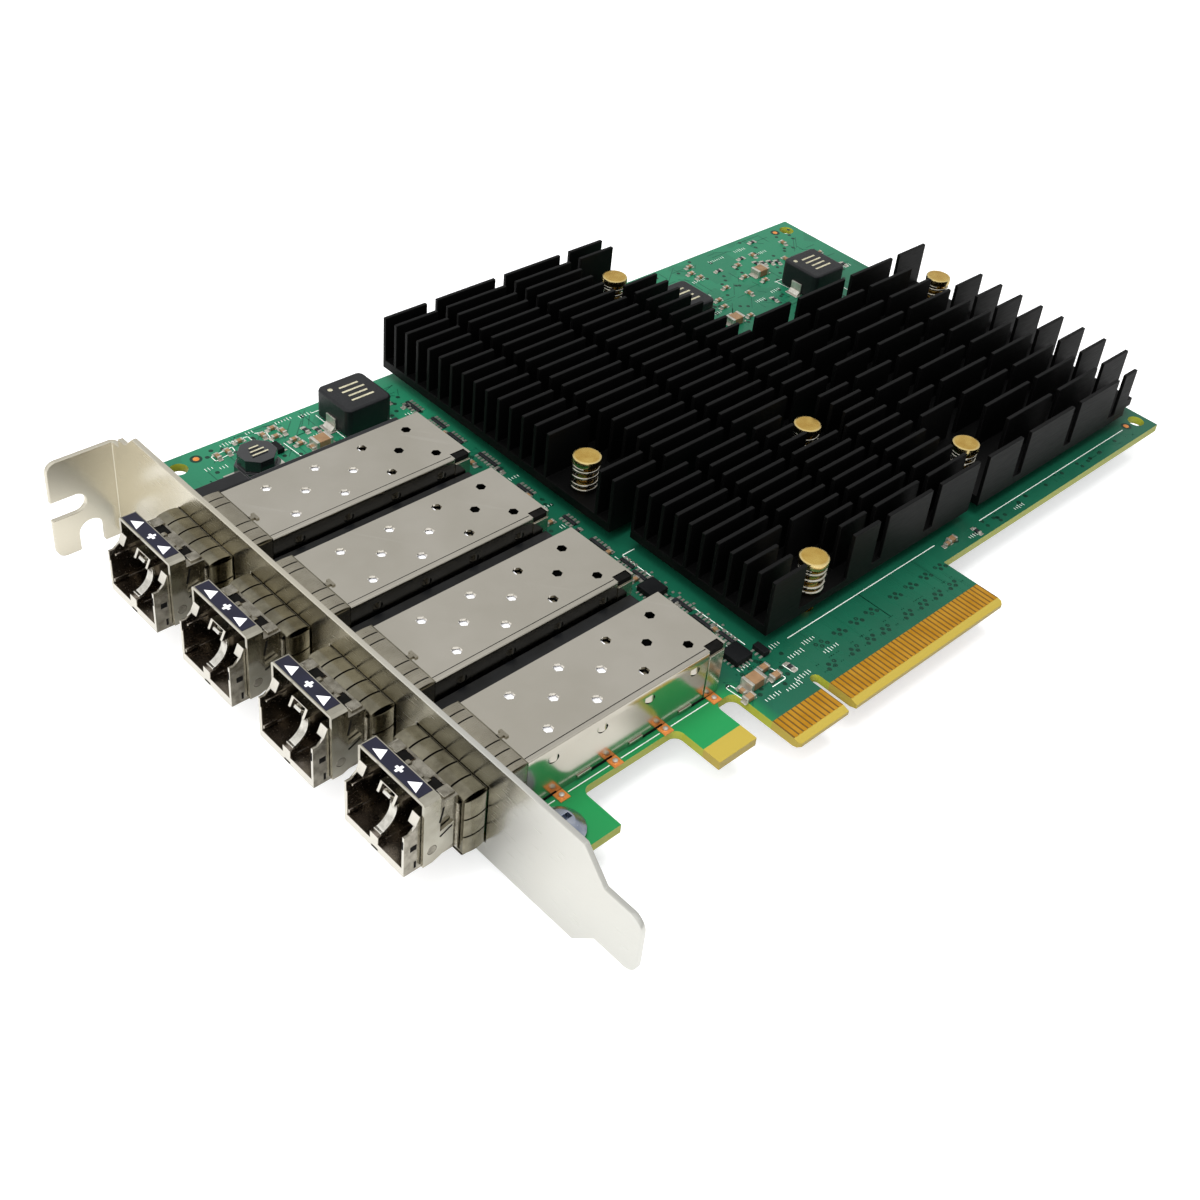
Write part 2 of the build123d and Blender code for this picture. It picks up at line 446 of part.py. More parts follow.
    bail_in = NOSE_W / 2 + BAIL_GAP
    bail_out = bail_in + BAIL_T
    with BuildPart() as bail:
        with BuildSketch(Plane.XZ.offset(-yc - bail_out)) as side:
            with BuildLine():
                Polyline(
                    (BAIL_X0, BAIL_LOW), (BAIL_X0, BAIL_TOP), (BAIL_X1, BAIL_TOP), (BAIL_X1, BAIL_FOOT_Z1),
                    (BAIL_FOOT_X, BAIL_FOOT_Z1 + 0.6), (BAIL_FOOT_X, BAIL_FOOT_Z0), (PIVOT_X + 0.2, BAIL_LOW),
                    close=True,
                )
            make_face()
            with Locations((PIVOT_X, PIVOT_Z)):
                Circle(PIVOT_R + PIVOT_CLEAR, mode=Mode.SUBTRACT)
        extrude(amount=2 * bail_out)
        with BuildSketch(Plane.XZ.offset(-yc - bail_in)):
            with Locations(((BAIL_X0 + BAIL_FOOT_X) / 2, -BAIL_T)):
                Rectangle(2 * (BAIL_FOOT_X - BAIL_X0), 2 * BAIL_TOP)
        extrude(amount=2 * bail_in, mode=Mode.SUBTRACT)
        chamfer(bail.edges().filter_by(Axis.X).group_by(Axis.Z)[-1], length=0.35)
    save(bail.part, f"bail_{number}")

# Host connectors inside the cages
with BuildPart() as host_connectors:
    with BuildSketch(Plane.XY):
        with Locations(*[((SOCKET_X0 + SOCKET_X1) / 2, y) for y in PORT_Y]):
            Rectangle(SOCKET_X1 - SOCKET_X0, SOCKET_W)
    extrude(amount=SOCKET_H)
    with BuildSketch(Plane.YZ.offset(SOCKET_X0)):
        with Locations(*[(y, CARD_Z + CARD_T / 2) for y in PORT_Y]):
            Rectangle(CARD_W + 0.4, CARD_T + 0.2)
    extrude(amount=CARD_X1 - SOCKET_X0 + 0.6, mode=Mode.SUBTRACT)
save(host_connectors.part, "host_connectors")

# Black moulded strips beside the cages
with BuildPart() as light_pipes:
    with BuildSketch(Plane.XY):
        with Locations(*[((PIPE_X0 + PIPE_X1) / 2, y + CAGE_W / 2 + COLLAR_T + PIPE_GAP + PIPE_W / 2)
                         for y in PORT_Y]):
            Rectangle(PIPE_X1 - PIPE_X0, PIPE_W)
    extrude(amount=PIPE_H)
save(light_pipes.part, "light_pipes")

# Moulded power inductors with their bent terminals
with BuildPart() as power_inductors:
    with BuildSketch(Plane.XY.offset(0.2)):
        with Locations(*COILS):
            Rectangle(COIL_W, COIL_W)
    extrude(amount=COIL_H - 0.2)
    chamfer(power_inductors.edges().filter_by(Axis.Z), length=0.7)
save(power_inductors.part, "power_inductors")

with BuildPart() as inductor_terminals:
    with Locations(*[(x + side * (COIL_W / 2 + 0.15), y, 1.3) for x, y in COILS for side in (-1, 1)]):
        Box(0.3, 2.6, 2.6)
    with Locations(*[(x + side * (COIL_W / 2 - 0.7), y, 0.1) for x, y in COILS for side in (-1, 1)]):
        Box(2.0, 2.6, 0.2)
save(inductor_terminals.part, "inductor_terminals")

# Octagonal shielded inductor
with BuildPart() as shielded_inductor:
    with BuildSketch(Plane.XY.offset(0.2)):
        with Locations(SHIELDED):
            RegularPolygon(SHIELDED_W / 2, 8, major_radius=False, rotation=22.5)
    extrude(amount=SHIELDED_H * 0.45)
    with BuildSketch(Plane.XY.offset(0.2 + SHIELDED_H * 0.45)):
        with Locations(SHIELDED):
            RegularPolygon(SHIELDED_W / 2 - 0.5, 8, major_radius=False, rotation=22.5)
    extrude(amount=SHIELDED_H * 0.55 - 0.2)
    with Locations(*[(SHIELDED[0] + side * 2.2, SHIELDED[1], 0.1) for side in (-1, 1)]):
        Box(1.8, 3.0, 0.2)
save(shielded_inductor.part, "shielded_inductor")

# Ceramic capacitors and small chip packages
with BuildPart() as ceramic_capacitors:
    with Locations(*[(x, y, BIG_CAP_H / 2) for x, y in BIG_CAPS]):
        Box(BIG_CAP_L, BIG_CAP_W, BIG_CAP_H)
    with Locations(*[(x, y, LITTLE_CAP_H / 2) for x, y in LITTLE_CAPS]):
        Box(LITTLE_CAP_L, LITTLE_CAP_W, LITTLE_CAP_H)
save(ceramic_capacitors.part, "ceramic_capacitors")

with BuildPart() as small_chips:
    with Locations(*[(x, y, SMALL_CHIP_H / 2) for x, y in SMALL_CHIPS]):
        Box(SMALL_CHIP_W, SMALL_CHIP_W, SMALL_CHIP_H)
save(small_chips.part, "small_chips")

# Square solder pads with press-fit pins along the lowest cage
with BuildPart() as press_fit_pads:
    with BuildSketch(Plane.XY):
        with Locations(*[(x, PRESS_Y) for x in PRESS_X]):
            Rectangle(PRESS_W, PRESS_W)
    extrude(amount=PRESS_H)
save(press_fit_pads.part, "press_fit_pads")
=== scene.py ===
"""Dresses the packed fibre channel adapter for its picture.

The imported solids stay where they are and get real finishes; small print, solder, chip parts and labels
are added as thin pieces of their own. Lengths in the tables below are millimetres, as on a drawing, and
every mesh is turned to metres as it is built.
"""

import logging
import math
from dataclasses import dataclass, field
from enum import Enum
from functools import lru_cache

import bmesh
import bpy
import numpy as np
from mathutils import Matrix, Vector


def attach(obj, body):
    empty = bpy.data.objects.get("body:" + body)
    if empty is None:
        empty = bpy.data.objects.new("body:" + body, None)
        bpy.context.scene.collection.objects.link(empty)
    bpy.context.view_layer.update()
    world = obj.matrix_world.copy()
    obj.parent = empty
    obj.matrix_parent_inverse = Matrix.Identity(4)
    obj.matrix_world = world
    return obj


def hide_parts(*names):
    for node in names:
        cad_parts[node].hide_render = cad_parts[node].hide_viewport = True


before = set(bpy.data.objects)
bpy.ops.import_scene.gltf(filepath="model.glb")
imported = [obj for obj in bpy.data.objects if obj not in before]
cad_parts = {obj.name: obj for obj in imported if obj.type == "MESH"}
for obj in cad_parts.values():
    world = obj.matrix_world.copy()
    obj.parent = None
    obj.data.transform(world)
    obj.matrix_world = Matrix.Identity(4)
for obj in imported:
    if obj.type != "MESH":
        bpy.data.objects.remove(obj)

LOG = logging.getLogger("adapter")
# One millimetre in metres.
MM = 0.001
# Body that everything but the bails rides on.
BODY = "card"
# Middle of each cage along Y: the uppermost one and the pitch of the ports.
PORT_TOP, PORT_PITCH, PORTS = 80.46, 19.39, 4
PORT_Y = [PORT_TOP - PORT_PITCH * i for i in range(PORTS)]
# Solder face of the board.
BACK_Z = -1.57
Tree, Socket, Material = bpy.types.NodeTree, bpy.types.NodeSocket, bpy.types.Material
Pair, Place, Row = tuple[float, float], tuple[float, float, float], tuple[float, ...]
Pairs = tuple[Pair, ...]
# Rows of blocks: offset along X, Y and Z, and size.
Blocks = tuple[tuple[float, float, float, Place], ...]


class Grain(Enum):
    """Direction in which a sheet or an extrusion was drawn."""

    ALONG_X = (0.12, 3.0, 3.0)
    ALONG_Y = (3.0, 0.12, 3.0)
    NONE = (1.0, 1.0, 1.0)


def linear(hex_colour: str, alpha: float = 1.0) -> tuple[float, float, float, float]:
    """Turn an sRGB hex value into the linear colour that a shader wants.

    Each channel c becomes c / 12.92 below 0.04045 and ((c + 0.055) / 1.055) to the power 2.4 above.

    Args:
        hex_colour: Colour as "#rrggbb".
        alpha: Fourth value of the result.

    Returns:
        Linear red, green, blue and alpha.
    """
    channels = np.array([int(hex_colour[i:i + 2], 16) for i in (1, 3, 5)]) / 255.0
    low, high = channels / 12.92, ((channels + 0.055) / 1.055) ** 2.4
    red, green, blue = np.where(channels <= 0.04045, low, high)
    return float(red), float(green), float(blue), alpha


def add_node(tree: Tree, kind: str, inputs: dict | None = None, **settings) -> bpy.types.Node:
    """Add one shader node with its settings and links.

    Args:
        tree: Node tree of the material or the world.
        kind: Node type without its prefix, such as "TexNoise".
        inputs: Socket name or number with a value, or with the output to link to it.
        **settings: Properties of the node.

    Returns:
        The new node.
    """
    node = tree.nodes.new("ShaderNode" + kind)
    for name, value in settings.items():
        setattr(node, name, value)
    for key, value in (inputs or {}).items():
        if isinstance(value, Socket):
            tree.links.new(value, node.inputs[key])
        else:
            node.inputs[key].default_value = value
    return node


@dataclass(frozen=True)
class Finish:
    """A surface finish: even colour with soft clouds, fine grain in roughness and relief.

    Attributes:
        name: Material name, after what the real one is.
        colour: Main colour, sRGB hex.
        cloud: Colour of the soft patches, sRGB hex.
        roughness: Lowest roughness; the grain adds spread to it.
        spread: How much the roughness varies.
        metallic: 1 for metals.
        cloud_mm: Size of the soft patches.
        grain_mm: Size of the fine grain.
        relief_mm: Height of the fine grain.
        grain: Direction of the grain.
        coat: Weight of a clear glossy layer.
        specular: Specular level; lower where the surface swallows light.
        edge_wear_and_glint: Colour painted on convex edges, partly wear and partly painted highlight, sRGB hex, or
            empty.
        tone: Second colour that the surface drifts to, sRGB hex, or empty.
        tone_axis: Axis along which it drifts.
        tone_mm: Where the drift starts and ends.
    """

    name: str
    colour: str
    cloud: str
    roughness: float
    spread: float = 0.12
    metallic: float = 0.0
    cloud_mm: float = 12.0
    grain_mm: float = 0.6
    relief_mm: float = 0.01
    grain: Grain = Grain.NONE
    coat: float = 0.0
    specular: float = 0.5
    edge_wear_and_glint: str = ""
    tone: str = ""
    tone_axis: str = "Y"
    tone_mm: Pair = (0.0, 100.0)

    @lru_cache(maxsize=None)
    def material(self) -> Material:
        """Make the node material, once for each finish.

        Returns:
            The finished material.
        """
        material = bpy.data.materials.new(self.name)
        material.use_nodes = True
        tree = material.node_tree
        tree.nodes.clear()
        output = add_node(tree, "OutputMaterial")
        shader = add_node(tree, "BsdfPrincipled", {"Metallic": self.metallic, "Coat Weight": self.coat,
                                                   "Specular IOR Level": self.specular})
        tree.links.new(shader.outputs["BSDF"], output.inputs["Surface"])
        place = add_node(tree, "TexCoord").outputs["Object"]
        in_mm = add_node(tree, "VectorMath", {0: place, "Scale": 1 / MM}, operation="SCALE").outputs[0]
        clouds = add_node(tree, "TexNoise", {"Vector": in_mm, "Scale": 1 / self.cloud_mm, "Detail": 4.0,
                                             "Roughness": 0.55})
        drawn = add_node(tree, "VectorMath", {0: in_mm, 1: self.grain.value}, operation="MULTIPLY").outputs[0]
        fine = add_node(tree, "TexNoise", {"Vector": drawn, "Scale": 1 / self.grain_mm, "Detail": 3.0})
        amount = add_node(tree, "MapRange", {"Value": clouds.outputs["Fac"], "From Min": 0.35,
                                             "From Max": 0.65}).outputs["Result"]
        base = add_node(tree, "Mix", {"Factor": amount, "A": linear(self.colour), "B": linear(self.cloud)},
                        data_type="RGBA")
        base = self.drift(tree, in_mm, base.outputs["Result"])
        base = self.paint(tree, in_mm, base)
        base = self.paint_wear_and_glint(tree, base)
        tree.links.new(base, shader.inputs["Base Color"])
        rough = add_node(tree, "MapRange", {"Value": fine.outputs["Fac"], "From Min": 0.25, "From Max": 0.75,
                                            "To Min": self.roughness, "To Max": self.roughness + self.spread})
        tree.links.new(rough.outputs["Result"], shader.inputs["Roughness"])
        bump = add_node(tree, "Bump", {"Height": fine.outputs["Fac"], "Distance": self.relief_mm * MM, "Strength": 1.0})
        tree.links.new(bump.outputs["Normal"], shader.inputs["Normal"])
        return material

    def drift(self, tree: Tree, in_mm: Socket, base: Socket) -> Socket:
        """Let the colour drift along one axis. On the solder mask this is painted shade, darker over the lower board
        among the heat sinks; on the bracket it is a painted reflection, warmer towards the ear.

        Args:
            tree: Node tree of the material.
            in_mm: Object coordinates in millimetres.
            base: Colour so far.

        Returns:
            Colour output.
        """
        if not self.tone:
            return base
        place = add_node(tree, "SeparateXYZ", {0: in_mm}).outputs[self.tone_axis]
        share = add_node(tree, "MapRange", {"Value": place, "From Min": self.tone_mm[0],
                                            "From Max": self.tone_mm[1]}, interpolation_type="SMOOTHSTEP")
        return add_node(tree, "Mix", {"Factor": share.outputs["Result"], "A": base, "B": linear(self.tone)},
                        data_type="RGBA").outputs["Result"]

    def paint_wear_and_glint(self, tree: Tree, base: Socket) -> Socket:
        """Paint rounded edges paler, where the mesh is convex: partly edge wear, partly painted highlight.

        Args:
            tree: Node tree of the material.
            base: Colour so far.

        Returns:
            Colour output.
        """
        if not self.edge_wear_and_glint:
            return base
        convex = add_node(tree, "NewGeometry").outputs["Pointiness"]
        share = add_node(tree, "MapRange", {"Value": convex, "From Min": 0.51, "From Max": 0.56,
                                            "To Max": 0.85}).outputs["Result"]
        return add_node(tree, "Mix", {"Factor": share, "A": base, "B": linear(self.edge_wear_and_glint)},
                        data_type="RGBA").outputs["Result"]

    def paint(self, tree: Tree, in_mm: Socket, base: Socket) -> Socket:
        """Leave the colour as it is; finishes with a pattern change it."""
        return base


@dataclass(frozen=True)
class SolderMask(Finish):
    """Green lacquer over copper; bare laminate shows on the cut edges and along the contact edge.

    Attributes:
        edge: Cut laminate, sRGB hex.
        bare: Laminate without lacquer.
        gap: Laminate between two contacts.
        foot: Lacquer over the foot and the hook, where no copper lies under it.
        pour: Lacquer over a copper area.
        pours_per_mm: Copper areas along one millimetre.
        foot_x: X over which the foot's green starts.
        foot_y: Y over which the foot's green starts.
        hook_top: The hook is bare below this Y.
        hook_x: X of the hook's sides.
        tongue_top: The contact tongue is bare below this Y.
        tongue_x: The tongue starts after this X.
        chamfer_top: Y where the chamfer of the contact edge ends.
    """

    edge: str = "#9ea336"
    bare: str = "#a4903a"
    gap: str = "#5e4312"
    foot: str = "#177c42"
    pour: str = "#104533"
    pours_per_mm: float = 0.11
    foot_x: Pair = (-10.0, -14.0)
    foot_y: Pair = (17.0, 14.0)
    hook_top: float = 8.1
    hook_x: Pair = (-30.0, -14.0)
    tongue_top: float = 5.6
    tongue_x: float = -13.0
    chamfer_top: float = 1.3

    def paint(self, tree: Tree, in_mm: Socket, base: Socket) -> Socket:
        """Show copper areas under the lacquer, the lighter foot and hook, and laminate where there is no lacquer.

        Copper areas are some cells of a Voronoi pattern, about as wide as the real areas. The faces of the tongue
        and the hook are bare near the contact edge, and darker between the contacts.

        Args:
            tree: Node tree of the material.
            in_mm: Object coordinates in millimetres.
            base: Clouded green.

        Returns:
            Colour output for the shader.
        """
        axes = add_node(tree, "SeparateXYZ", {0: in_mm})
        x, y = axes.outputs["X"], axes.outputs["Y"]
        cells = add_node(tree, "TexVoronoi", {"Vector": in_mm, "Scale": self.pours_per_mm}, distance="MANHATTAN")
        cell = add_node(tree, "SeparateColor", {0: cells.outputs["Color"]}).outputs[0]
        pour, left, down = (
            add_node(tree, "MapRange", {"Value": value, "From Min": start, "From Max": stop, "To Max": most}).outputs[0]
            for value, start, stop, most in ((cell, 0.55, 0.6, 0.22), (x, *self.foot_x, 1.0), (y, *self.foot_y, 1.0)))
        up = add_node(tree, "SeparateXYZ", {0: add_node(tree, "TexCoord").outputs["Normal"]}).outputs["Z"]
        flat = add_node(tree, "Math", {0: up}, operation="ABSOLUTE").outputs[0]
        cut, low, west, east, lip, tongue, level, above = (
            add_node(tree, "Math", {0: value, 1: limit}, operation=side).outputs[0] for value, limit, side in (
                (flat, 0.5, "LESS_THAN"), (y, self.hook_top, "LESS_THAN"), (x, self.hook_x[1], "LESS_THAN"),
                (x, self.hook_x[0], "GREATER_THAN"), (y, self.tongue_top, "LESS_THAN"),
                (x, self.tongue_x, "GREATER_THAN"), (flat, 0.98, "GREATER_THAN"),
                (y, self.chamfer_top, "GREATER_THAN")))
        for mask in (east, low):
            west = add_node(tree, "Math", {0: west, 1: mask}, operation="MULTIPLY").outputs[0]
        lip = add_node(tree, "Math", {0: lip, 1: tongue}, operation="MULTIPLY").outputs[0]
        for mask in (above, lip):
            level = add_node(tree, "Math", {0: level, 1: mask}, operation="MULTIPLY").outputs[0]
        foot = add_node(tree, "Math", {0: left, 1: down}, operation="MULTIPLY").outputs[0]
        bare = add_node(tree, "Math", {0: west, 1: lip}, operation="MAXIMUM").outputs[0]
        for mask, colour in ((pour, self.pour), (foot, self.foot), (cut, self.edge), (bare, self.bare),
                             (level, self.gap)):
            base = add_node(tree, "Mix", {"Factor": mask, "A": base, "B": linear(colour)},
                            data_type="RGBA").outputs["Result"]
        return base


@dataclass(frozen=True)
class StreakedSheet(Finish):
    """Bright pressed sheet with faint pale slanting marks.

    Attributes:
        mark: Colour of the marks, sRGB hex.
        marks_per_mm: Marks along one millimetre.
        stretch: Width of a mark as a share of its length.
        slant: Turn of the marks about Z in degrees.
        strength: How far the marks take over the colour.
    """

    mark: str = "#dedbd2"
    marks_per_mm: float = 0.85
    stretch: float = 0.07
    slant: float = 52.0
    strength: float = 0.12

    def paint(self, tree: Tree, in_mm: Socket, base: Socket) -> Socket:
        """Draw thin slanting marks: noise stretched along a line that is turned by the slant.

        Args:
            tree: Node tree of the material.
            in_mm: Object coordinates in millimetres.
            base: Clouded metal colour.

        Returns:
            Colour output for the shader.
        """
        turned = add_node(tree, "VectorRotate", {"Vector": in_mm, "Angle": math.radians(self.slant)},
                          rotation_type="Z_AXIS").outputs[0]
        drawn = add_node(tree, "VectorMath", {0: turned, 1: (self.stretch, 1.0, 1.0)},
                         operation="MULTIPLY").outputs[0]
        noise = add_node(tree, "TexNoise", {"Vector": drawn, "Scale": self.marks_per_mm, "Detail": 1.0}).outputs["Fac"]
        marks = add_node(tree, "MapRange", {"Value": noise, "From Min": 0.7, "From Max": 0.78,
                                            "To Max": self.strength}).outputs["Result"]
        return add_node(tree, "Mix", {"Factor": marks, "A": base, "B": linear(self.mark)},
                        data_type="RGBA").outputs["Result"]


@dataclass(frozen=True)
class CastSkin(Finish):
    """Plated die casting, with painted shade inside each hollow nose and a painted highlight on the faces that look
    forward.

    Attributes:
        hollow: Painted shade inside the nose, sRGB hex.
        rim: Painted highlight on the faces that look forward, the front rims among them, sRGB hex.
        inner_half: Half the width inside the nose.
        nose_x: X where the nose ends.
        nose_top: Upper face of the nose.
    """

    hollow: str = "#8f867c"
    rim: str = "#d9d5ca"
    inner_half: float = 5.9
    nose_x: float = -63.2
    nose_top: float = 10.7

    def paint(self, tree: Tree, in_mm: Socket, base: Socket) -> Socket:
        """Paint shade inside each nose, apart from faces that look forward, and paint a highlight on every face that
        looks forward.

        The distance from a module's middle is d = |((y - y4 + p / 2) mod p) - p / 2| with the port pitch p. Inside
        is where d < inner_half, x < nose_x, z < nose_top and the normal's X is above -0.5.

        Args:
            tree: Node tree of the material.
            in_mm: Object coordinates in millimetres.
            base: Clouded metal colour.

        Returns:
            Colour output for the shader.
        """
        axes = add_node(tree, "SeparateXYZ", {0: in_mm})
        aside = axes.outputs["Y"]
        for value, kind in ((PORT_PITCH / 2 - PORT_Y[-1], "ADD"), (PORT_PITCH, "FLOORED_MODULO"),
                            (PORT_PITCH / 2, "SUBTRACT"), (0.0, "ABSOLUTE")):
            aside = add_node(tree, "Math", {0: aside, 1: value}, operation=kind).outputs[0]
        normal = add_node(tree, "TexCoord").outputs["Normal"]
        facing = add_node(tree, "SeparateXYZ", {0: normal}).outputs["X"]
        dark, ahead, inner, below, front = (
            add_node(tree, "Math", {0: value, 1: limit}, operation=side).outputs[0] for value, limit, side in (
                (aside, self.inner_half, "LESS_THAN"), (axes.outputs["X"], self.nose_x, "LESS_THAN"),
                (facing, -0.5, "GREATER_THAN"), (axes.outputs["Z"], self.nose_top, "LESS_THAN"),
                (facing, -0.7, "LESS_THAN")))
        for mask in (ahead, inner, below):
            dark = add_node(tree, "Math", {0: dark, 1: mask}, operation="MULTIPLY").outputs[0]
        # Painted highlight on the faces that look forward, painted shade inside the nose.
        for mask, colour in ((front, self.rim), (dark, self.hollow)):
            base = add_node(tree, "Mix", {"Factor": mask, "A": base, "B": linear(colour)},
                            data_type="RGBA").outputs["Result"]
        return base


# Solder-masked laminate: satin green lacquer, darker over copper; glass and resin on the cut edges. Its drift to a
# lighter green from Y 72 to 106 is painted shade: the lower board, among the heat sinks, is painted darker.
SOLDER_MASK = SolderMask("solder_masked_laminate", "#0f4b37", "#13553f", 0.32, cloud_mm=26.0, grain_mm=0.5,
                         relief_mm=0.004, specular=0.35, tone="#1f7051", tone_mm=(72.0, 106.0))
# Hard gold plating over nickel: warm and deep, with fine insertion scratches along the fingers.
GOLD = Finish("gold_plated_contact", "#c98e1f", "#d79f33", 0.3, metallic=0.85, cloud_mm=3.0, grain=Grain.ALONG_Y)
# Nickel-plated steel sheet: smooth rolled sheet with faint rolling lines, brighter towards the foot and warmer towards
# the ear; this drift is a painted reflection, as the foot mirrors the white table.
BRACKET = Finish("nickel_plated_steel_sheet", "#d3d3cd", "#d4d3cc", 0.22, 0.06, 1.0, cloud_mm=22.0, grain_mm=0.5,
                 relief_mm=0.0007, grain=Grain.ALONG_Y, tone="#d9d3c2", tone_mm=(8.0, 60.0))
# Zinc-plated screw: bluish bright plating.
ZINC = Finish("zinc_plated_steel", "#b9bec8", "#9aa3b5", 0.18, 0.1, 1.0, cloud_mm=2.0, grain_mm=0.3)
# Black anodised aluminium extrusion: dyed oxide that swallows light, satin, with drawing lines.
ANODISED = Finish("black_anodised_aluminium", "#020202", "#030303", 0.46, 0.15, 0.0, cloud_mm=10.0, grain_mm=0.35,
                  relief_mm=0.006, grain=Grain.ALONG_X, specular=0.16)
# Moulded epoxy package: matt black with a fine eroded grain.
PACKAGE = Finish("moulded_epoxy", "#0d0e0f", "#131415", 0.5, 0.15, cloud_mm=4.0, grain_mm=0.25, relief_mm=0.01,
                 specular=0.15)
# Silicone gap filler: soft, matt, slightly oily grey.
THERMAL_PAD = Finish("silicone_gap_pad", "#8a8c90", "#7b7d82", 0.7, cloud_mm=5.0)
# Brass turned on a lathe: deep yellow, satin, faint turning marks; its convex edges are painted paler, partly wear and
# partly painted highlight.
BRASS = Finish("turned_brass", "#e2c069", "#cda550", 0.2, 0.12, 1.0, cloud_mm=2.2, grain_mm=0.35, edge_wear_and_glint="#ead9a0")
# Spring steel wire: bright drawn wire that mirrors its neighbours.
SPRING = Finish("spring_steel_wire", "#c8c4b8", "#a8a394", 0.16, 0.1, 1.0, cloud_mm=1.5, grain_mm=0.3)
# Nickel-silver cage sheet: pale warm grey, nearly mirror-smooth on its sides.
CAGE = StreakedSheet("pressed_nickel_silver", "#c8c3b7", "#bfbaad", 0.14, 0.08, 1.0, cloud_mm=14.0, grain_mm=0.4,
                   relief_mm=0.0006, grain=Grain.ALONG_X)
# Gasket of thin spring sheet: a darker copy of the sheet used behind the bracket, its darkness painted shade.
COLLAR = Finish("gasket_spring_sheet", "#8f8a78", "#6c6757", 0.13, 0.1, 1.0, cloud_mm=3.0, grain_mm=0.3,
                relief_mm=0.004, grain=Grain.ALONG_X)
# Gasket behind the bracket: the same sheet, in a paler copy with painted light.
COLLAR_BACK = Finish("gasket_sheet_inside", "#aaa494", "#9a9484", 0.24, 0.12, 1.0, cloud_mm=3.0, grain_mm=0.3,
                     relief_mm=0.003, grain=Grain.ALONG_X)
# Glass-filled nylon: black with a dull fibre-flecked skin.
CONNECTOR = Finish("glass_filled_nylon", "#121314", "#18191a", 0.45, cloud_mm=3.0, grain_mm=0.2, specular=0.3)
# Nickel-plated zinc die casting: dull and dark with the pitted skin of a casting; painted shade inside each nose and a
# painted highlight on the faces that look forward.
DIECAST = CastSkin("nickel_plated_die_casting", "#a9a497", "#7d786b", 0.14, 0.16, 1.0, cloud_mm=1.4, grain_mm=0.35,
                   relief_mm=0.01)
# Bright blade of the casting: polished where plugs have slid along it; its convex edges are painted paler still, partly
# wear and partly painted highlight.
POLISHED = Finish("rubbed_die_casting", "#d2cfc5", "#a8a498", 0.14, 0.16, 1.0, cloud_mm=0.8, grain_mm=0.3,
                  relief_mm=0.02, edge_wear_and_glint="#f0eee6")
# Module circuit board: plain green laminate.
LAMINATE = Finish("module_laminate", "#1d6b3c", "#22774a", 0.35, cloud_mm=4.0, specular=0.3)
# Zirconia sleeve: smooth, ivory white, slightly waxy.
SLEEVE = Finish("zirconia_sleeve", "#b9b4a4", "#a8a28f", 0.25, cloud_mm=2.0, coat=0.2)
# Bright nickel on the bail strip: cleaner and smoother than the casting.
BAIL = Finish("bright_nickel_bail", "#bfbbad", "#a8a495", 0.1, 0.08, 1.0, cloud_mm=5.0, grain_mm=0.4,
              relief_mm=0.001)
# Black moulded strip: smooth polycarbonate with a soft shine.
BLACK_STRIP = Finish("black_polycarbonate", "#0d0e0f", "#141517", 0.28, cloud_mm=5.0, specular=0.3)
# Pressed iron powder under black enamel: fine grain, soft shine on the rounded corners.
INDUCTOR = Finish("pressed_iron_powder", "#0d0e10", "#131416", 0.3, 0.2, cloud_mm=3.0, grain_mm=0.3,
                  relief_mm=0.015, specular=0.35)
# Tinned copper: pale, slightly frosted solder coat.
TINNED = Finish("tinned_copper", "#d6d3c9", "#bab6ab", 0.28, 0.12, 0.8, cloud_mm=1.2, grain_mm=0.25)
# Ferrite shell: dark grey, ground smooth on top.
FERRITE = Finish("ferrite", "#141517", "#1b1c1e", 0.14, 0.1, cloud_mm=2.5, grain_mm=0.25, relief_mm=0.006,
                 specular=0.5, coat=0.5)
# Barium titanate ceramic: tan, glazed-looking, fine-grained.
CERAMIC = Finish("barium_titanate_ceramic", "#8d6f50", "#7c6044", 0.4, 0.15, cloud_mm=1.5, grain_mm=0.2)
# Bare copper with flux stains: orange, uneven.
COPPER_PAD = Finish("flux_stained_copper", "#d98a45", "#c97a38", 0.4, 0.15, 0.25, cloud_mm=0.9, grain_mm=0.25)
# Silk-screened epoxy ink: flat white with slightly soft edges.
SILK = Finish("screen_printed_ink", "#e9ece6", "#d5dbd3", 0.6, cloud_mm=1.5, grain_mm=0.25, specular=0.3)
# Lacquered copper track: the same green, a little lighter where copper lies under it.
TRACK = Finish("lacquered_track", "#12533d", "#124d39", 0.3, cloud_mm=3.0, specular=0.3)
# Tented via: dark ring of lacquer sagging into the hole.
VIA = Finish("tented_via", "#08291d", "#0a3124", 0.35, cloud_mm=1.0, specular=0.3)
# Printed label film: dark navy, smooth.
LABEL = Finish("printed_label_film", "#10101f", "#151527", 0.35, cloud_mm=3.0, grain_mm=0.3, specular=0.35)
# Label ink: flat white.
LABEL_WHITE = Finish("label_ink", "#f4f4f6", "#e9e9ee", 0.45, cloud_mm=1.5, specular=0.3)
# Faded print on moulded parts: dull cream, half worn off.
MARK = Finish("faded_print", "#b9b49a", "#a39e86", 0.6, cloud_mm=1.2, grain_mm=0.3, specular=0.2)
# Chip resistor body: black glass over white alumina.
RESISTOR = Finish("resistor_glass", "#1b1c1e", "#26272a", 0.3, cloud_mm=0.6, grain_mm=0.2, specular=0.4)
# Painted shade for hollows between parts: a near-black finish on thin pieces in gaps too narrow to model through, where
# only shade falls.
SHADE = Finish("painted_shade_gap", "#0b0b0a", "#121110", 0.7, cloud_mm=1.0, specular=0.1)

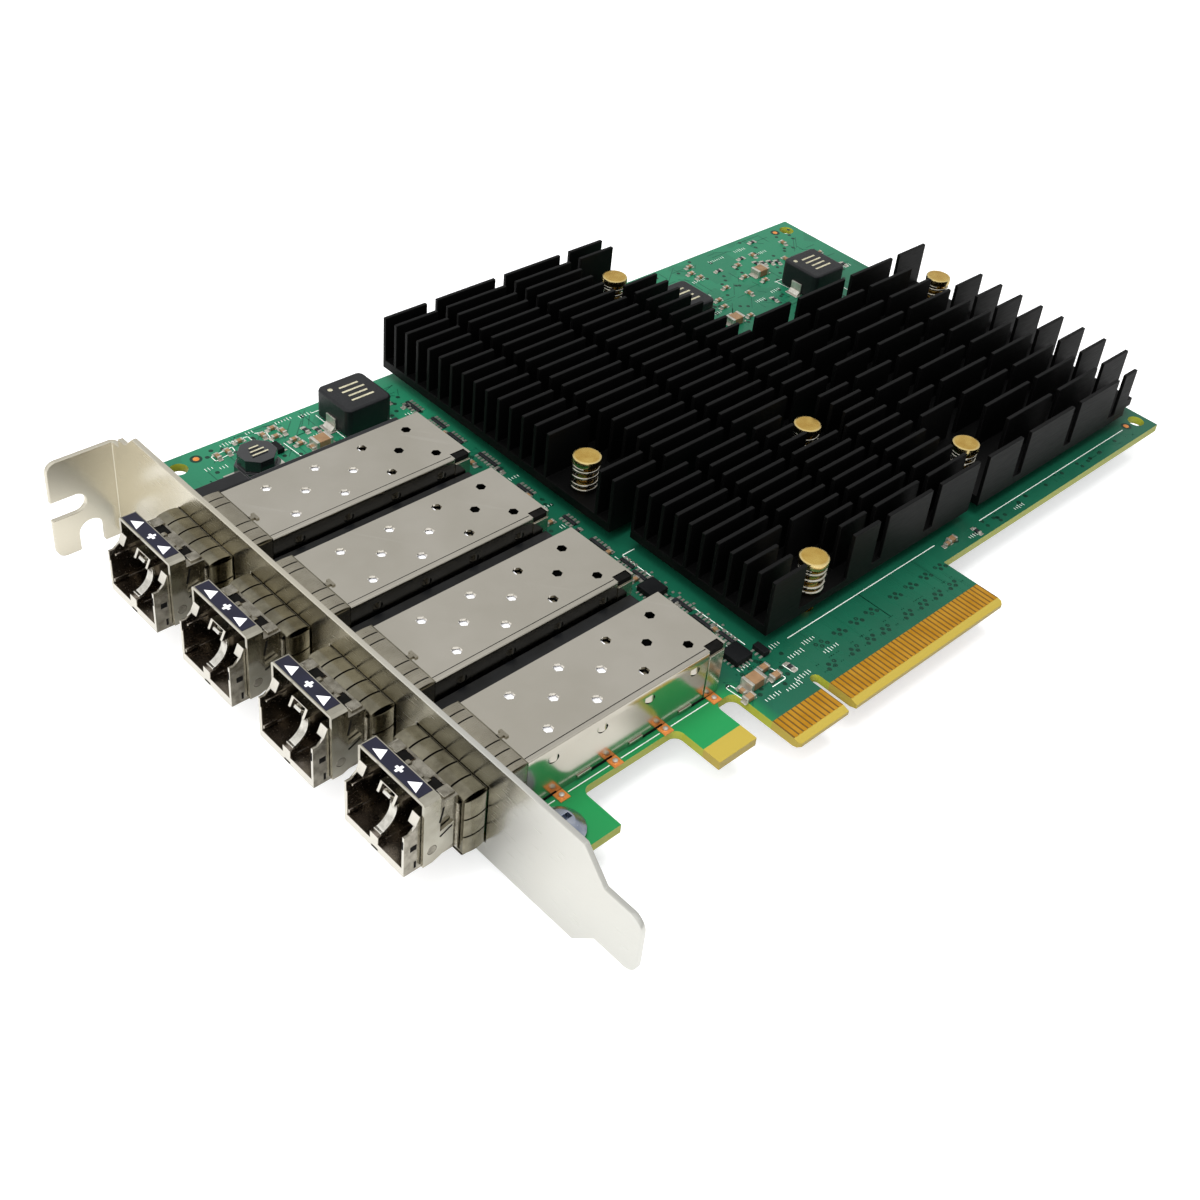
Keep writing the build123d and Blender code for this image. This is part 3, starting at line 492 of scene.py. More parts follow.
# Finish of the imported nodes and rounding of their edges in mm, or 0, by the start of a node's name.
NODE_DRESS = {
    "circuit_board": (SOLDER_MASK, 0.07), "edge_contacts": (GOLD, 0.0), "bracket": (BRACKET, 0.14),
    "bracket_screw": (ZINC, 0.16), "heat_sink": (ANODISED, 0.1), "controller": (PACKAGE, 0.0),
    "thermal_pads": (THERMAL_PAD, 0.0), "push_pins": (BRASS, 0.0), "pin_springs": (SPRING, 0.0),
    "cage_collar": (COLLAR, 0.0), "cage": (CAGE, 0.0), "host_connectors": (CONNECTOR, 0.0),
    "module_housing": (DIECAST, 0.13), "module_board": (LAMINATE, 0.0), "module_optics": (SLEEVE, 0.0),
    "bail": (BAIL, 0.12), "light_pipes": (BLACK_STRIP, 0.3), "power_inductors": (INDUCTOR, 0.5),
    "inductor_terminals": (TINNED, 0.06), "shielded_inductor": (FERRITE, 0.3),
    "ceramic_capacitors": (CERAMIC, 0.15), "small_chips": (PACKAGE, 0.15), "press_fit_pads": (COPPER_PAD, 0.0),
}

# Corners of a block of size 1, and its six faces.
CORNERS = np.array([(-1, -1, -1), (1, -1, -1), (1, 1, -1), (-1, 1, -1), (-1, -1, 1), (1, -1, 1), (1, 1, 1),
                    (-1, 1, 1)]) / 2.0
BOX_QUADS = np.array([(0, 3, 2, 1), (4, 5, 6, 7), (0, 1, 5, 4), (1, 2, 6, 5), (2, 3, 7, 6), (3, 0, 4, 7)])


@dataclass
class Form:
    """Points and faces of one new piece, gathered in millimetres.

    Attributes:
        points: Arrays of points, one for each shape added.
        faces: Arrays of face corners, counted through the whole piece.
        total: Number of points so far.
    """

    points: list[np.ndarray] = field(default_factory=list)
    faces: list[np.ndarray] = field(default_factory=list)
    total: int = 0

    def add(self, points: np.ndarray, *faces: np.ndarray) -> "Form":
        """Add one shape.

        Args:
            points: Its points, in any array that ends in x, y, z.
            *faces: Arrays of corner numbers, one row a face.

        Returns:
            The form itself.
        """
        flat = np.asarray(points, float).reshape(-1, 3)
        self.points.append(flat)
        self.faces.extend(np.atleast_2d(face) + self.total for face in faces)
        self.total += len(flat)
        return self

    def boxes(self, centres: np.ndarray, sizes: np.ndarray, turn: np.ndarray | float = 0.0) -> "Form":
        """Add blocks: the eight corners (+-1/2, +-1/2, +-1/2) times the size, turned about Z, plus the centre.

        Args:
            centres: Middle points, n by 3.
            sizes: Sizes along X, Y and Z, n by 3 or one for all.
            turn: Angles about Z in radians.

        Returns:
            The form itself.
        """
        centres = np.atleast_2d(np.asarray(centres, float))
        count = len(centres)
        local = CORNERS[None] * np.broadcast_to(np.atleast_2d(sizes), (count, 3))[:, None, :]
        angle = np.broadcast_to(turn, (count,))[:, None]
        x = local[..., 0] * np.cos(angle) - local[..., 1] * np.sin(angle)
        y = local[..., 0] * np.sin(angle) + local[..., 1] * np.cos(angle)
        points = np.stack([x, y, local[..., 2]], axis=-1) + centres[:, None, :]
        quads = (BOX_QUADS[None] + 8 * np.arange(count)[:, None, None]).reshape(-1, 4)
        return self.add(points, quads)

    def blocks(self, rows: Blocks, centre: Place, mirror: str = "") -> "Form":
        """Add blocks at their offsets from a centre, each with its image on the other side where that is asked for.

        Args:
            rows: Offset along X, Y and Z, and size of each block.
            centre: Point that the offsets start from.
            mirror: Axis along which the offset is turned round for the image, or empty. A block without an
                offset along it stands alone.

        Returns:
            The form itself.
        """
        for *offset, size in rows:
            places = [offset]
            if mirror and offset["XYZ".index(mirror)]:
                places.append([-value if axis == mirror else value for axis, value in zip("XYZ", offset)])
            self.boxes(np.array(places) + centre, size)
        return self

    def strokes(self, ends: np.ndarray, width: float, low: float, high: float) -> "Form":
        """Add flat lines: a block along each pair of ends (x0, y0, x1, y1), as long as their distance.

        Args:
            ends: Line ends, n by 4.
            width: Line width.
            low: Lower z.
            high: Upper z.

        Returns:
            The form itself.
        """
        ends = np.atleast_2d(np.asarray(ends, float))
        run = ends[:, 2:] - ends[:, :2]
        length = np.hypot(run[:, 0], run[:, 1]) + width
        count = len(ends)
        centres = np.column_stack([(ends[:, :2] + ends[:, 2:]) / 2, np.full(count, (low + high) / 2)])
        sizes = np.column_stack([length, np.full(count, width), np.full(count, high - low)])
        return self.boxes(centres, sizes, np.arctan2(run[:, 1], run[:, 0]))

    def loft(self, rings: np.ndarray, capped: bool = True) -> "Form":
        """Join closed rings of points one after another, and close both ends with a flat face.

        Corner (i, j) is point i * k + j of n rings with k points; each quad takes (i, j), (i, j + 1) and the two
        above them, and j runs round.

        Args:
            rings: Points, n by k by 3.
            capped: Whether the ends are closed.

        Returns:
            The form itself.
        """
        rings = np.asarray(rings, float)
        count, around = rings.shape[:2]
        i, j = np.meshgrid(np.arange(count - 1), np.arange(around), indexing="ij")
        after = (j + 1) % around
        quads = np.stack([i * around + j, i * around + after, (i + 1) * around + after, (i + 1) * around + j], axis=-1)
        faces = [quads.reshape(-1, 4)]
        if capped:
            faces += [np.arange(around)[::-1], (count - 1) * around + np.arange(around)]
        return self.add(rings, *faces)

    def prism(self, outline: np.ndarray, low: float, high: float, axis: str = "Z") -> "Form":
        """Carry a closed outline straight along an axis.

        Args:
            outline: Corners in the two other axes, in the order X, Y, Z, n by 2.
            low: Start along the axis.
            high: End along the axis.
            axis: "X", "Y" or "Z".

        Returns:
            The form itself.
        """
        outline = np.asarray(outline, float)
        at = "XYZ".index(axis)
        rings = np.stack([np.insert(outline, at, level, axis=1) for level in (low, high)])
        return self.loft(rings)

    def lathe(self, profile: np.ndarray, centres: np.ndarray, sides: int = 32) -> "Form":
        """Turn a profile (r, z) about upright axes: x = cx + r cos a, y = cy + r sin a, z = cz + z.

        Args:
            profile: Radius and height from one end to the other, n by 2.
            centres: Feet of the axes, m by 3.
            sides: Points round.

        Returns:
            The form itself.
        """
        profile = np.asarray(profile, float)
        angle = np.linspace(0.0, 2 * math.pi, sides, endpoint=False)
        ring = np.stack([profile[:, :1] * np.cos(angle), profile[:, :1] * np.sin(angle),
                         np.repeat(profile[:, 1:], sides, axis=1)], axis=-1)
        for centre in np.atleast_2d(np.asarray(centres, float)):
            self.loft(ring + centre)
        return self

    def tube(self, path: np.ndarray, radius: float, sides: int = 10, upright: Place = (0, 0, 1)
             ) -> "Form":
        """Carry a circle along a path: point + r (cos a N + sin a B), N and B square to the path.

        Args:
            path: Points, n by 3.
            radius: Radius of the tube.
            sides: Points round.
            upright: Direction that the path never takes.

        Returns:
            The form itself.
        """
        path = np.asarray(path, float)
        along = np.gradient(path, axis=0)
        along /= np.linalg.norm(along, axis=1, keepdims=True)
        normal = np.cross(along, np.asarray(upright, float))
        normal /= np.linalg.norm(normal, axis=1, keepdims=True)
        other = np.cross(along, normal)
        angle = np.linspace(0.0, 2 * math.pi, sides, endpoint=False)[None, :, None]
        rings = path[:, None] + radius * (np.cos(angle) * normal[:, None] + np.sin(angle) * other[:, None])
        return self.loft(rings)

    def build(self, name: str, finish: Finish, slot: str, body: str = BODY, smooth: float = 40.0,
              round_mm: float = 0.0) -> bpy.types.Object:
        """Put the shapes into one object at the origin that rides on a body.

        Args:
            name: Object name.
            finish: Its finish.
            slot: Not used.
            body: Body that it moves with.
            smooth: Edges sharper than this angle in degrees stay sharp.
            round_mm: Width of rounded edges, or 0.

        Returns:
            The new object.
        """
        mesh = bpy.data.meshes.new(name)
        corners = [row for array in self.faces for row in array.tolist()]
        mesh.from_pydata((np.concatenate(self.points) * MM).tolist(), [], corners)
        shape = bmesh.new()
        shape.from_mesh(mesh)
        bmesh.ops.recalc_face_normals(shape, faces=shape.faces)
        shape.to_mesh(mesh)
        shape.free()
        mesh.polygons.foreach_set("use_smooth", np.ones(len(mesh.polygons), bool))
        mesh.set_sharp_from_angle(angle=math.radians(smooth))
        mesh.materials.append(finish.material())
        piece = bpy.data.objects.new(name, mesh)
        bpy.context.scene.collection.objects.link(piece)
        if round_mm:
            soften(piece, round_mm, smooth)
        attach(piece, body)
        LOG.info("built %s, %d faces", name, len(mesh.polygons))
        return piece


def soften(piece: bpy.types.Object, width_mm: float, angle: float = 35.0) -> None:
    """Round the edges of a piece with a bevel of two segments.

    Args:
        piece: Object to finish.
        width_mm: Width of the rounding.
        angle: Only edges sharper than this, in degrees.
    """
    bevel = piece.modifiers.new("rounded_edges", "BEVEL")
    bevel.width = width_mm * MM
    bevel.segments = 2
    bevel.limit_method = "ANGLE"
    bevel.angle_limit = math.radians(angle)
    bevel.use_clamp_overlap = True


@dataclass
class CadDress:
    """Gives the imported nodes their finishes, and rounds their edges, which come knife-sharp.

    Attributes:
        weld_m: Distance up to which corners become one, in metres.
        flat_angle: Faces that differ by less than this, in degrees, become one.
        sharp_angle: Only edges sharper than this, in degrees, are rounded.
    """

    weld_m: float = 0.000002
    flat_angle: float = 0.5
    sharp_angle: float = 30.0

    def build(self) -> None:
        """Set each node's finish, merge its loose triangles in a modifier, join flat ones, and round the edges."""
        for name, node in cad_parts.items():
            finish, edge_mm = NODE_DRESS[max((start for start in NODE_DRESS if name.startswith(start)), key=len)]
            node.data.materials.clear()
            node.data.materials.append(finish.material())
            LOG.info("dressed %s as %s", name, finish.name)
            if not edge_mm:
                continue
            weld = node.modifiers.new("merged_corners", "WELD")
            weld.merge_threshold = self.weld_m
            flat = node.modifiers.new("joined_flats", "DECIMATE")
            flat.decimate_type = "DISSOLVE"
            flat.angle_limit = math.radians(self.flat_angle)
            node.data.polygons.foreach_set("use_smooth", np.ones(len(node.data.polygons), bool))
            soften(node, edge_mm, self.sharp_angle)
            even = node.modifiers.new("flat_faces_flat", "WEIGHTED_NORMAL")
            even.weight = 100
            even.keep_sharp = False


@dataclass
class PinsAndSprings:
    """Six brass push pins with the coil springs that press the heat sinks down.

    Attributes:
        places: Axes of the pins.
        head_r: Radius of the head.
        head_z: Lower and upper face of the head.
        spring_r: Radius of the coil.
        wire_r: Radius of the wire.
        foot_z: Top of the heat sink base.
        turns: Turns of the coil.
        steps: Points along one turn.
    """

    places: Pairs = ((0.5, 60.9), (45.5, 101.9), (11.4, 20.0), (38.5, 45.1), (57.6, 24.4), (102.2, 64.6))
    head_r: float = 2.5
    head_z: Pair = (9.0, 10.3)
    spring_r: float = 2.15
    wire_r: float = 0.28
    foot_z: float = 3.9
    turns: float = 4.6
    steps: int = 28

    def build(self) -> None:
        """Turn the pins and wind the springs, which stand for the plain ones."""
        low, high = self.head_z
        rim = self.head_r
        profile = [(0.3, -3.6), (0.55, -3.6), (1.3, -2.6), (1.68, -2.0), (1.75, -1.75), (1.7, BACK_Z - 0.02),
                   (1.25, BACK_Z - 0.01), (1.25, 4.6), (1.5, 4.8), (1.5, 7.9), (1.72, 8.1), (1.72, low - 0.02),
                   (rim - 0.22, low), (rim - 0.06, low + 0.06), (rim, low + 0.22), (rim, high - 0.28),
                   (rim - 0.08, high - 0.1), (rim - 0.28, high - 0.01), (rim - 0.5, high), (0.4, high - 0.02)]
        feet = [(x, y, 0.0) for x, y in self.places]
        pins = Form().lathe(profile, feet, 40).build("turned_push_pins", BRASS, "brass_pin")
        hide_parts("push_pins")
        coils = Form()
        for x, y in self.places:
            coils.tube(self.coil(x, y), self.wire_r, 10)
        springs = coils.build("wound_pin_springs", SPRING, "spring_wire", smooth=60.0)
        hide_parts("pin_springs")

    def coil(self, x: float, y: float) -> np.ndarray:
        """Work out the wire's line: a helix whose pitch fades to a flat turn at each end.

        With s from 0 to 1 the angle is 2 pi turns s, and the height follows s smoothed as
        s - sin(2 pi s) / (2 pi) mixed half and half with s, so that the first and last turns lie close.

        Args:
            x: Axis in X.
            y: Axis in Y.

        Returns:
            Points along the wire.
        """
        share = np.linspace(0.0, 1.0, int(self.turns * self.steps))
        angle = 2 * math.pi * self.turns * share
        rise = 0.45 * share + 0.55 * (share - np.sin(2 * math.pi * share) / (2 * math.pi))
        start, stop = self.foot_z + self.wire_r, self.head_z[0] - self.wire_r
        return np.column_stack([x + self.spring_r * np.cos(angle), y + self.spring_r * np.sin(angle),
                                start + (stop - start) * rise])


@dataclass
class ShieldFingers:
    """Spring fingers of the gasket round one cage, in front of the bracket and behind it.

    Attributes:
        number: Cage number from the top.
        wide: Outer width of the gasket.
        top: Outer top of the gasket.
        low: Outer underside of the gasket.
        front: X of the front rim and of the bracket's face.
        back: X where the rear fingers start and end.
        gap: Width of the slots.
        across_front: Y of the slots in front of the bracket, from the middle of the cage.
        across_back: Y of the slots behind the bracket.
        up_side: Z of the slots in the sides.
        rise: Height of the arch of a front finger.
        rise_low: Height of the arch of a finger on the underside.
        rise_back: Height of the arch of a rear finger on top.
        rise_side: Height of the arch of a rear finger on the side.
        sheet: Thickness of the spring sheet.
        shade_top: Level of the dark slots on top.
        dark_x: Middle of the dark slots in front of the bracket and behind it.
        band_x: X of the flat band between bracket and rear fingers.
        band_half: Half its width.
        collar_top: Level of the lid under the fingers.
        collar_end: X of the dark gap behind the gasket.
        tee: Outline of the hook that holds the gasket to the lid, seen from above.
        tee_y: Its middle, from the middle of the cage.
    """

    number: int
    wide: float = 14.6
    top: float = 10.05
    low: float = -0.25
    front: Pair = (-62.7, -58.95)
    back: Pair = (-55.6, -52.2)
    gap: float = 0.3
    across_front: Row = (-7.3, -4.3, -1.4, 1.4, 4.3, 7.3)
    across_back: Row = (-7.3, -6.1, -3.8, -1.8, 3.8, 5.5, 7.3)
    up_side: Row = (0.0, 3.3, 6.6, 10.0)
    rise: float = 0.42
    rise_low: float = 0.3
    rise_back: float = 0.2
    rise_side: float = 0.1
    sheet: float = 0.12
    shade_top: float = 10.06
    dark_x: Pair = (-60.8, -53.9)
    band_x: Pair = (-57.9, -55.9)
    band_half: float = 7.2
    collar_top: float = 9.82
    collar_end: float = -51.95
    tee: Pairs = ((-52.4, -0.35), (-51.3, -0.35), (-51.3, -0.8), (-50.8, -0.8), (-50.8, 0.8), (-51.3, 0.8),
                  (-51.3, 0.35), (-52.4, 0.35))
    tee_y: float = -1.1

    def arch(self, ends: Pair, rise: float, side: Pair, base: float, outward: float,
             flat: str) -> np.ndarray:
        """Work out one finger: a strip whose height over its base is rise * sin(pi t) to the power 0.6.

        Args:
            ends: Start and end along X; t runs from 0 to 1 between them.
            rise: Height of the arch.
            side: Low and high edge across.
            base: Level of the sheet that it springs from.
            outward: +1 or -1, the way it arches.
            flat: "Z" for a finger on top or below, "Y" for one on a side.

        Returns:
            Rings of four points for a loft.
        """
        share = np.linspace(0.0, 1.0, 13)
        x = ends[0] + (ends[1] - ends[0]) * share
        over = rise * np.sin(math.pi * np.clip(share, 0.001, 0.999)) ** 0.6
        outer = base + outward * (over + 0.02)
        inner = outer - outward * self.sheet
        low, high = np.full_like(x, side[0]), np.full_like(x, side[1])
        corners = [(x, low, outer), (x, high, outer), (x, high, inner), (x, low, inner)]
        order = (0, 1, 2) if flat == "Z" else (0, 2, 1)
        return np.stack([np.stack([corner[k] for k in order], axis=-1) for corner in corners], axis=1)

    def build(self) -> None:
        """Bend all fingers of the cage into two pieces."""
        yc = PORT_Y[self.number - 1]
        half = self.gap / 2
        ahead, behind = Form(), Form()
        for left, right in zip(self.across_front[:-1], self.across_front[1:]):
            side = (yc + left + half, yc + right - half)
            ahead.loft(self.arch(self.front, self.rise, side, self.top, 1, "Z"))
            ahead.loft(self.arch(self.front, self.rise_low, side, self.low, -1, "Z"))
        for low, high in zip(self.up_side[:-1], self.up_side[1:]):
            side = (low + half, high - half)
            for way in (1, -1):
                ahead.loft(self.arch(self.front, self.rise, side, yc + way * self.wide / 2, way, "Y"))
            behind.loft(self.arch(self.back, self.rise_side, side, yc - self.wide / 2, -1, "Y"))
        for left, right in zip(self.across_back[:-1], self.across_back[1:]):
            side = (yc + left + half * 0.8, yc + right - half * 0.8)
            behind.loft(self.arch(self.back, self.rise_back, side, self.top, 1, "Z"))
        behind.loft(self.arch(self.band_x, 0.05, (yc - self.band_half, yc + self.band_half), self.top, 1, "Z"))
        behind.prism(np.array(self.tee) + (0.0, yc + self.tee_y), self.collar_top, self.top)
        ahead.build(f"gasket_fingers_{self.number}", COLLAR, "collar_nickel", smooth=60.0)
        behind.build(f"gasket_inner_fingers_{self.number}", COLLAR_BACK, "collar_nickel", smooth=60.0)
        self.slots(yc)

    def slots(self, yc: float) -> None:
        """Lay painted shade in the slots between the fingers, in the gap behind the gasket and in the slots of its
        sides.

        Args:
            yc: Middle of the cage.
        """
        dark = Form()
        for x, across, size in ((self.dark_x[1], self.across_back, (3.2, 0.3, 0.05)),
                                (self.dark_x[0], self.across_front, (3.4, 0.34, 0.05))):
            edges = np.array(across[1:-1])
            dark.boxes(np.column_stack([np.full(len(edges), x), yc + edges, np.full(len(edges), self.shade_top)]), size)
        dark.boxes([(self.collar_end, yc + 0.6, self.collar_top + 0.01)], (0.22, 13.0, 0.05))
        for level in self.up_side[1:-1]:
            dark.boxes([(self.dark_x[0], yc + side * (self.wide / 2 + 0.01), level) for side in (-1, 1)],
                       (3.2, 0.05, 0.3))
        dark.build(f"gasket_slots_{self.number}", SHADE, "collar_nickel")


@dataclass
class CageTrim:
    """Folds, spring tabs, tails and the painted shade in the hollows and the rear corner of one cage.

    Attributes:
        number: Cage number from the top.
        wide: Outer width of the cage.
        top: Height of the cage.
        ends: X of the front of the side wall and of its rear.
        tabs: X of the spring tabs in the side walls.
        tails: X of the tails that go into the board.
        hem: Width of the folded hem along the lid's edge.
        lid: X of the front and the rear of the lid.
        fold: Outline of the lid's fold over a side wall: way out and way down from the lid's edge.
        wedge: Outline of the spring wedge behind the bracket, in X and Z.
        wedge_hollow: Outline of the painted shade in its hollow.
        hollow: Height and radius of the painted shade in the hole under a tab.
        gaps: Painted shade: dark seam along the hem, dark rear corner and dark slot in the rear wall.
        rear_tabs: Tabs on the rear wall.
        bulge: How far a tab stands out at its middle.
        tab_half: Half the width of a tab.
        tab_z: Height of a tab's root and of its free edge.
    """

    number: int
    wide: float = 14.1
    top: float = 9.8
    ends: Pair = (-57.6, -14.1)
    tabs: Row = (-47.3, -38.3, -29.2, -20.1)
    tails: Row = (-51.5, -41.0, -31.0, -21.0)
    hem: float = 0.75
    lid: Pair = (-51.9, -17.4)
    fold: Pairs = ((-0.1, 0.05), (0.1, 0.12), (0.16, 0.35), (0.16, 1.5), (0.02, 1.5))
    wedge: Pairs = ((-50.6, 1.2), (-53.6, 1.6), (-53.2, 7.6), (-52.6, 7.6), (-52.7, 2.6), (-51.2, 2.3))
    wedge_hollow: Pairs = ((-52.9, 2.2), (-51.0, 2.0), (-52.5, 7.2))
    hollow: Pair = (7.35, 0.95)
    gaps: Blocks = ((-34.6, -6.24, 9.806, (34.4, 0.1, 0.02)), (-15.85, -6.37, 9.25, (2.7, 1.3, 0.8)),
                    (-13.97, 0.0, 6.2, (0.03, 9.5, 0.25)))
    rear_tabs: Blocks = ((-13.9, 3.4, 3.2, (0.2, 1.6, 5.6)),)
    bulge: float = 0.4
    tab_half: float = 0.85
    tab_z: Pair = (8.35, 7.3)

    def build(self) -> None:
        """Fold the trim of the cage and lay painted shade in its hollows."""
        yc = PORT_Y[self.number - 1]
        low, high = yc - self.wide / 2, yc + self.wide / 2
        sheet, dark = Form(), Form()
        for y, way in ((low, -1), (high, 1)):
            lid = [(y + way * out, self.top - down) for out, down in self.fold]
            sheet.prism(lid, self.ends[0] if way < 0 else self.lid[0], self.lid[1], "X")
        hem = [(low - 0.08, self.top - 0.1), (low + 0.02, self.top + 0.08), (low + self.hem - 0.12, self.top + 0.09),
               (low + self.hem, self.top - 0.02)]
        sheet.prism(hem, *self.lid, "X")
        dark.blocks(self.gaps, (0.0, yc, 0.0))
        rear = [(low - 0.16, 0.4), (low - 0.16, self.top - 1.2), (low - 0.02, self.top - 1.2), (low - 0.02, 0.4)]
        sheet.prism(rear, self.lid[1] + 0.3, self.ends[1], "X")
        for x in self.tabs:
            for y, way in ((low, -1), (high, 1)):
                sheet.loft(self.tab(x, y, way))
                dark.prism(self.disc(x + 0.2, *self.hollow), y + way * 0.012, y + way * 0.03, "Y")
        for x in self.tails:
            sheet.boxes([(x, low - 0.12, 0.62)], (2.6, 0.2, 0.5))
            # Painted shadow along the foot of the side wall, beside each tail.
            dark.boxes([(x + 3.4, low - 0.05, 0.2)], (4.0, 0.1, 0.35))
        sheet.prism(self.wedge, low - 0.3, low - 0.03, "Y")
        dark.prism(self.wedge_hollow, low - 0.05, low - 0.015, "Y")
        sheet.blocks(self.rear_tabs, (0.0, yc, 0.0), "Y")
        sheet.build(f"cage_folds_{self.number}", CAGE, "cage_nickel", round_mm=0.05)
        dark.build(f"cage_hollows_{self.number}", SHADE, "cage_nickel")

    def tab(self, x: float, y: float, way: int) -> np.ndarray:
        """Work out a half-round tab pressed out of a side wall.

        It stands out by bulge * (1 - s^2), with s from -1 to 1 across its width, times a share that grows from
        0.15 at its root to 1 at its free edge.

        Args:
            x: Middle of the tab.
            y: Face of the wall.
            way: +1 or -1, the way out.

        Returns:
            Rings for a loft.
        """
        share = np.linspace(-1.0, 1.0, 9)
        levels = np.linspace(*self.tab_z, 5)
        bulge = self.bulge * (1 - share[:, None] ** 2) * np.linspace(0.15, 1.0, 5)[None, :]
        grid_x = np.broadcast_to(x + self.tab_half * share[:, None], bulge.shape)
        outer = np.stack([grid_x, y + way * (0.02 + bulge), np.broadcast_to(levels, bulge.shape)], axis=-1)
        inner = outer - np.array([0.0, way * 0.1, 0.0])
        return np.concatenate([outer, inner[:, ::-1]], axis=1)

    def disc(self, x: float, z: float, radius: float) -> np.ndarray:
        """Work out a rounded outline of 20 corners, three quarters as high as it is long.

        Args:
            x: Middle in X.
            z: Middle in Z.
            radius: Half its length.

        Returns:
            Corners in X and Z, n by 2.
        """
        angle = np.linspace(0.0, 2 * math.pi, 20, endpoint=False)
        return np.column_stack([x + radius * np.cos(angle), z + 0.75 * radius * np.sin(angle)])


@dataclass
class ModuleNose:
    """What shows on the nose of one optical module: latch, slots and the printed label on its bail.

    Attributes:
        number: Module number from the top.
        wide: Width of the nose.
        bail: X of the bail's front and rear edge.
        bail_top: Upper face of the bail.
        label_y: Sides of the printed label, from the middle of the module.
        lugs: Latch bar, lugs and steps of the casting.
        humps: X, Z and radii of the round lugs on top, and the Y of both.
        hinge: Small block under the blade.
        slits: Painted shade in the slits in the front and in the left side of the nose.
        windows: Painted shade in the openings beside the latch bar.
        leg_slits: Tilt in radians, X, Z and length of the slits in the bail's legs.
        blade: X and Z of the middle of the bright blade's arc.
        blade_r: Inner and outer radius of the arc.
        blade_half: Half the width of the blade.
        sticker: Sticker on the module inside the cage.
        cross: The two bars of the cross on the label.
        arrow_y: Distance of the arrowheads from the cross.
    """

    number: int
    wide: float = 12.5
    bail: Pair = (-68.8, -66.2)
    bail_top: float = 13.2
    label_y: Pair = (-5.4, 6.3)
    lugs: Blocks = ((-65.2, 0.0, 10.9, (1.6, 2.6, 0.35)), (-63.9, 4.9, 10.92, (1.8, 1.7, 0.4)),
                    (-70.1, 5.83, 3.0, (2.2, 0.7, 0.75)), (-68.8, 5.83, 7.4, (3.4, 0.3, 0.45)),
                    (-70.74, 0.0, 3.0, (1.3, 1.75, 1.5)), (-71.28, 5.95, 4.2, (0.22, 0.5, 5.4)))
    humps: tuple[Pair, Pair, Pair] = ((-64.6, 10.75), (0.55, 0.45), (1.9, -2.1))
    hinge: Blocks = ((-70.3, 0.0, 3.9, (1.1, 1.5, 0.4)),)
    slits: Blocks = ((-71.412, -5.95, 6.9, (0.02, 0.28, 1.5)), (-71.412, -0.2, 1.45, (0.02, 1.3, 0.32)),
                     (-69.9, -6.262, 5.6, (1.0, 0.02, 0.9)), (-69.6, -6.262, 2.3, (0.35, 0.02, 1.2)))
    windows: Blocks = ((-64.7, 3.25, 10.805, (2.6, 2.4, 0.02)),)
    leg_slits: tuple[Row, ...] = ((0.45, -65.2, 6.1, 2.2), (1.35, -66.0, 9.6, 2.6))
    blade: Pair = (-71.6, 7.2)
    blade_r: Pair = (3.28, 3.75)
    blade_half: float = 0.72
    sticker: Blocks = ((-39.6, 0.0, 9.11, (24.0, 11.4, 0.02)),)
    cross: Blocks = ((-67.49, 0.0, 13.255, (1.3, 0.42, 0.02)), (-67.49, 0.0, 13.256, (0.42, 1.3, 0.02)))
    arrow_y: float = 3.6

    def build(self) -> None:
        """Make the label, the latch and the dark slots."""
        yc = PORT_Y[self.number - 1]
        body = f"bail_body_{self.number}"
        self.label(yc, body)
        self.latch(yc)
        self.slots(yc, body)
        sticker = Form().blocks(self.sticker, (0.0, yc, 0.0))
        sticker.build(f"module_sticker_{self.number}", LABEL_WHITE, "module_laminate")

    def label(self, yc: float, body: str) -> None:
        """Print the dark label with two white arrowheads and a small cross on the bail's top.

        Args:
            yc: Middle of the module.
            body: Body of the bail.
        """
        x0, x1 = self.bail[0] + 0.2, self.bail[1] - 0.18
        z = self.bail_top + 0.005
        y0, y1 = yc + self.label_y[0], yc + self.label_y[1]
        film = Form().prism([(x0, y0), (x1, y0), (x1, y1), (x0, y1)], z, z + 0.04)
        film.build(f"bail_label_{self.number}", LABEL, "bail_nickel", body)
        marks = Form()
        mid = (x0 + x1) / 2
        for offset in (self.arrow_y, -self.arrow_y):
            head = [(mid - 0.85, yc + offset - 0.9), (mid + 0.85, yc + offset - 0.1), (mid - 0.5, yc + offset + 1.3)]
            marks.prism(head, z + 0.04, z + 0.06)
        marks.blocks(self.cross, (0.0, yc, 0.0))
        marks.build(f"bail_label_marks_{self.number}", LABEL_WHITE, "bail_nickel", body)

    def latch(self, yc: float) -> None:
        """Add the raised latch bar, its two lugs and the small steps that the casting has on its nose.

        Args:
            yc: Middle of the module.
        """
        cast = Form().blocks(self.lugs, (0.0, yc, 0.0), "Y")
        angle = np.linspace(0.0, math.pi, 9)
        middle, radii, asides = self.humps
        hump = np.array(middle) + np.array(radii) * np.column_stack([np.cos(angle), np.sin(angle)])
        for aside in asides:
            cast.prism(hump, yc + aside - 0.35, yc + aside + 0.35, "Y")
        cast.build(f"nose_lugs_{self.number}", DIECAST, "diecast_nickel", round_mm=0.12)
        turn = np.radians(np.linspace(-70.0, 52.0, 22))
        inner, outer = (np.array(self.blade) + radius * np.column_stack([np.cos(turn), np.sin(turn)])
                        for radius in self.blade_r)
        blade = Form()
        blade.prism(np.concatenate([inner, outer[::-1]]), yc - self.blade_half, yc + self.blade_half, "Y")
        blade.blocks(self.hinge, (0.0, yc, 0.0))
        blade.build(f"nose_blade_{self.number}", POLISHED, "diecast_nickel", round_mm=0.08)

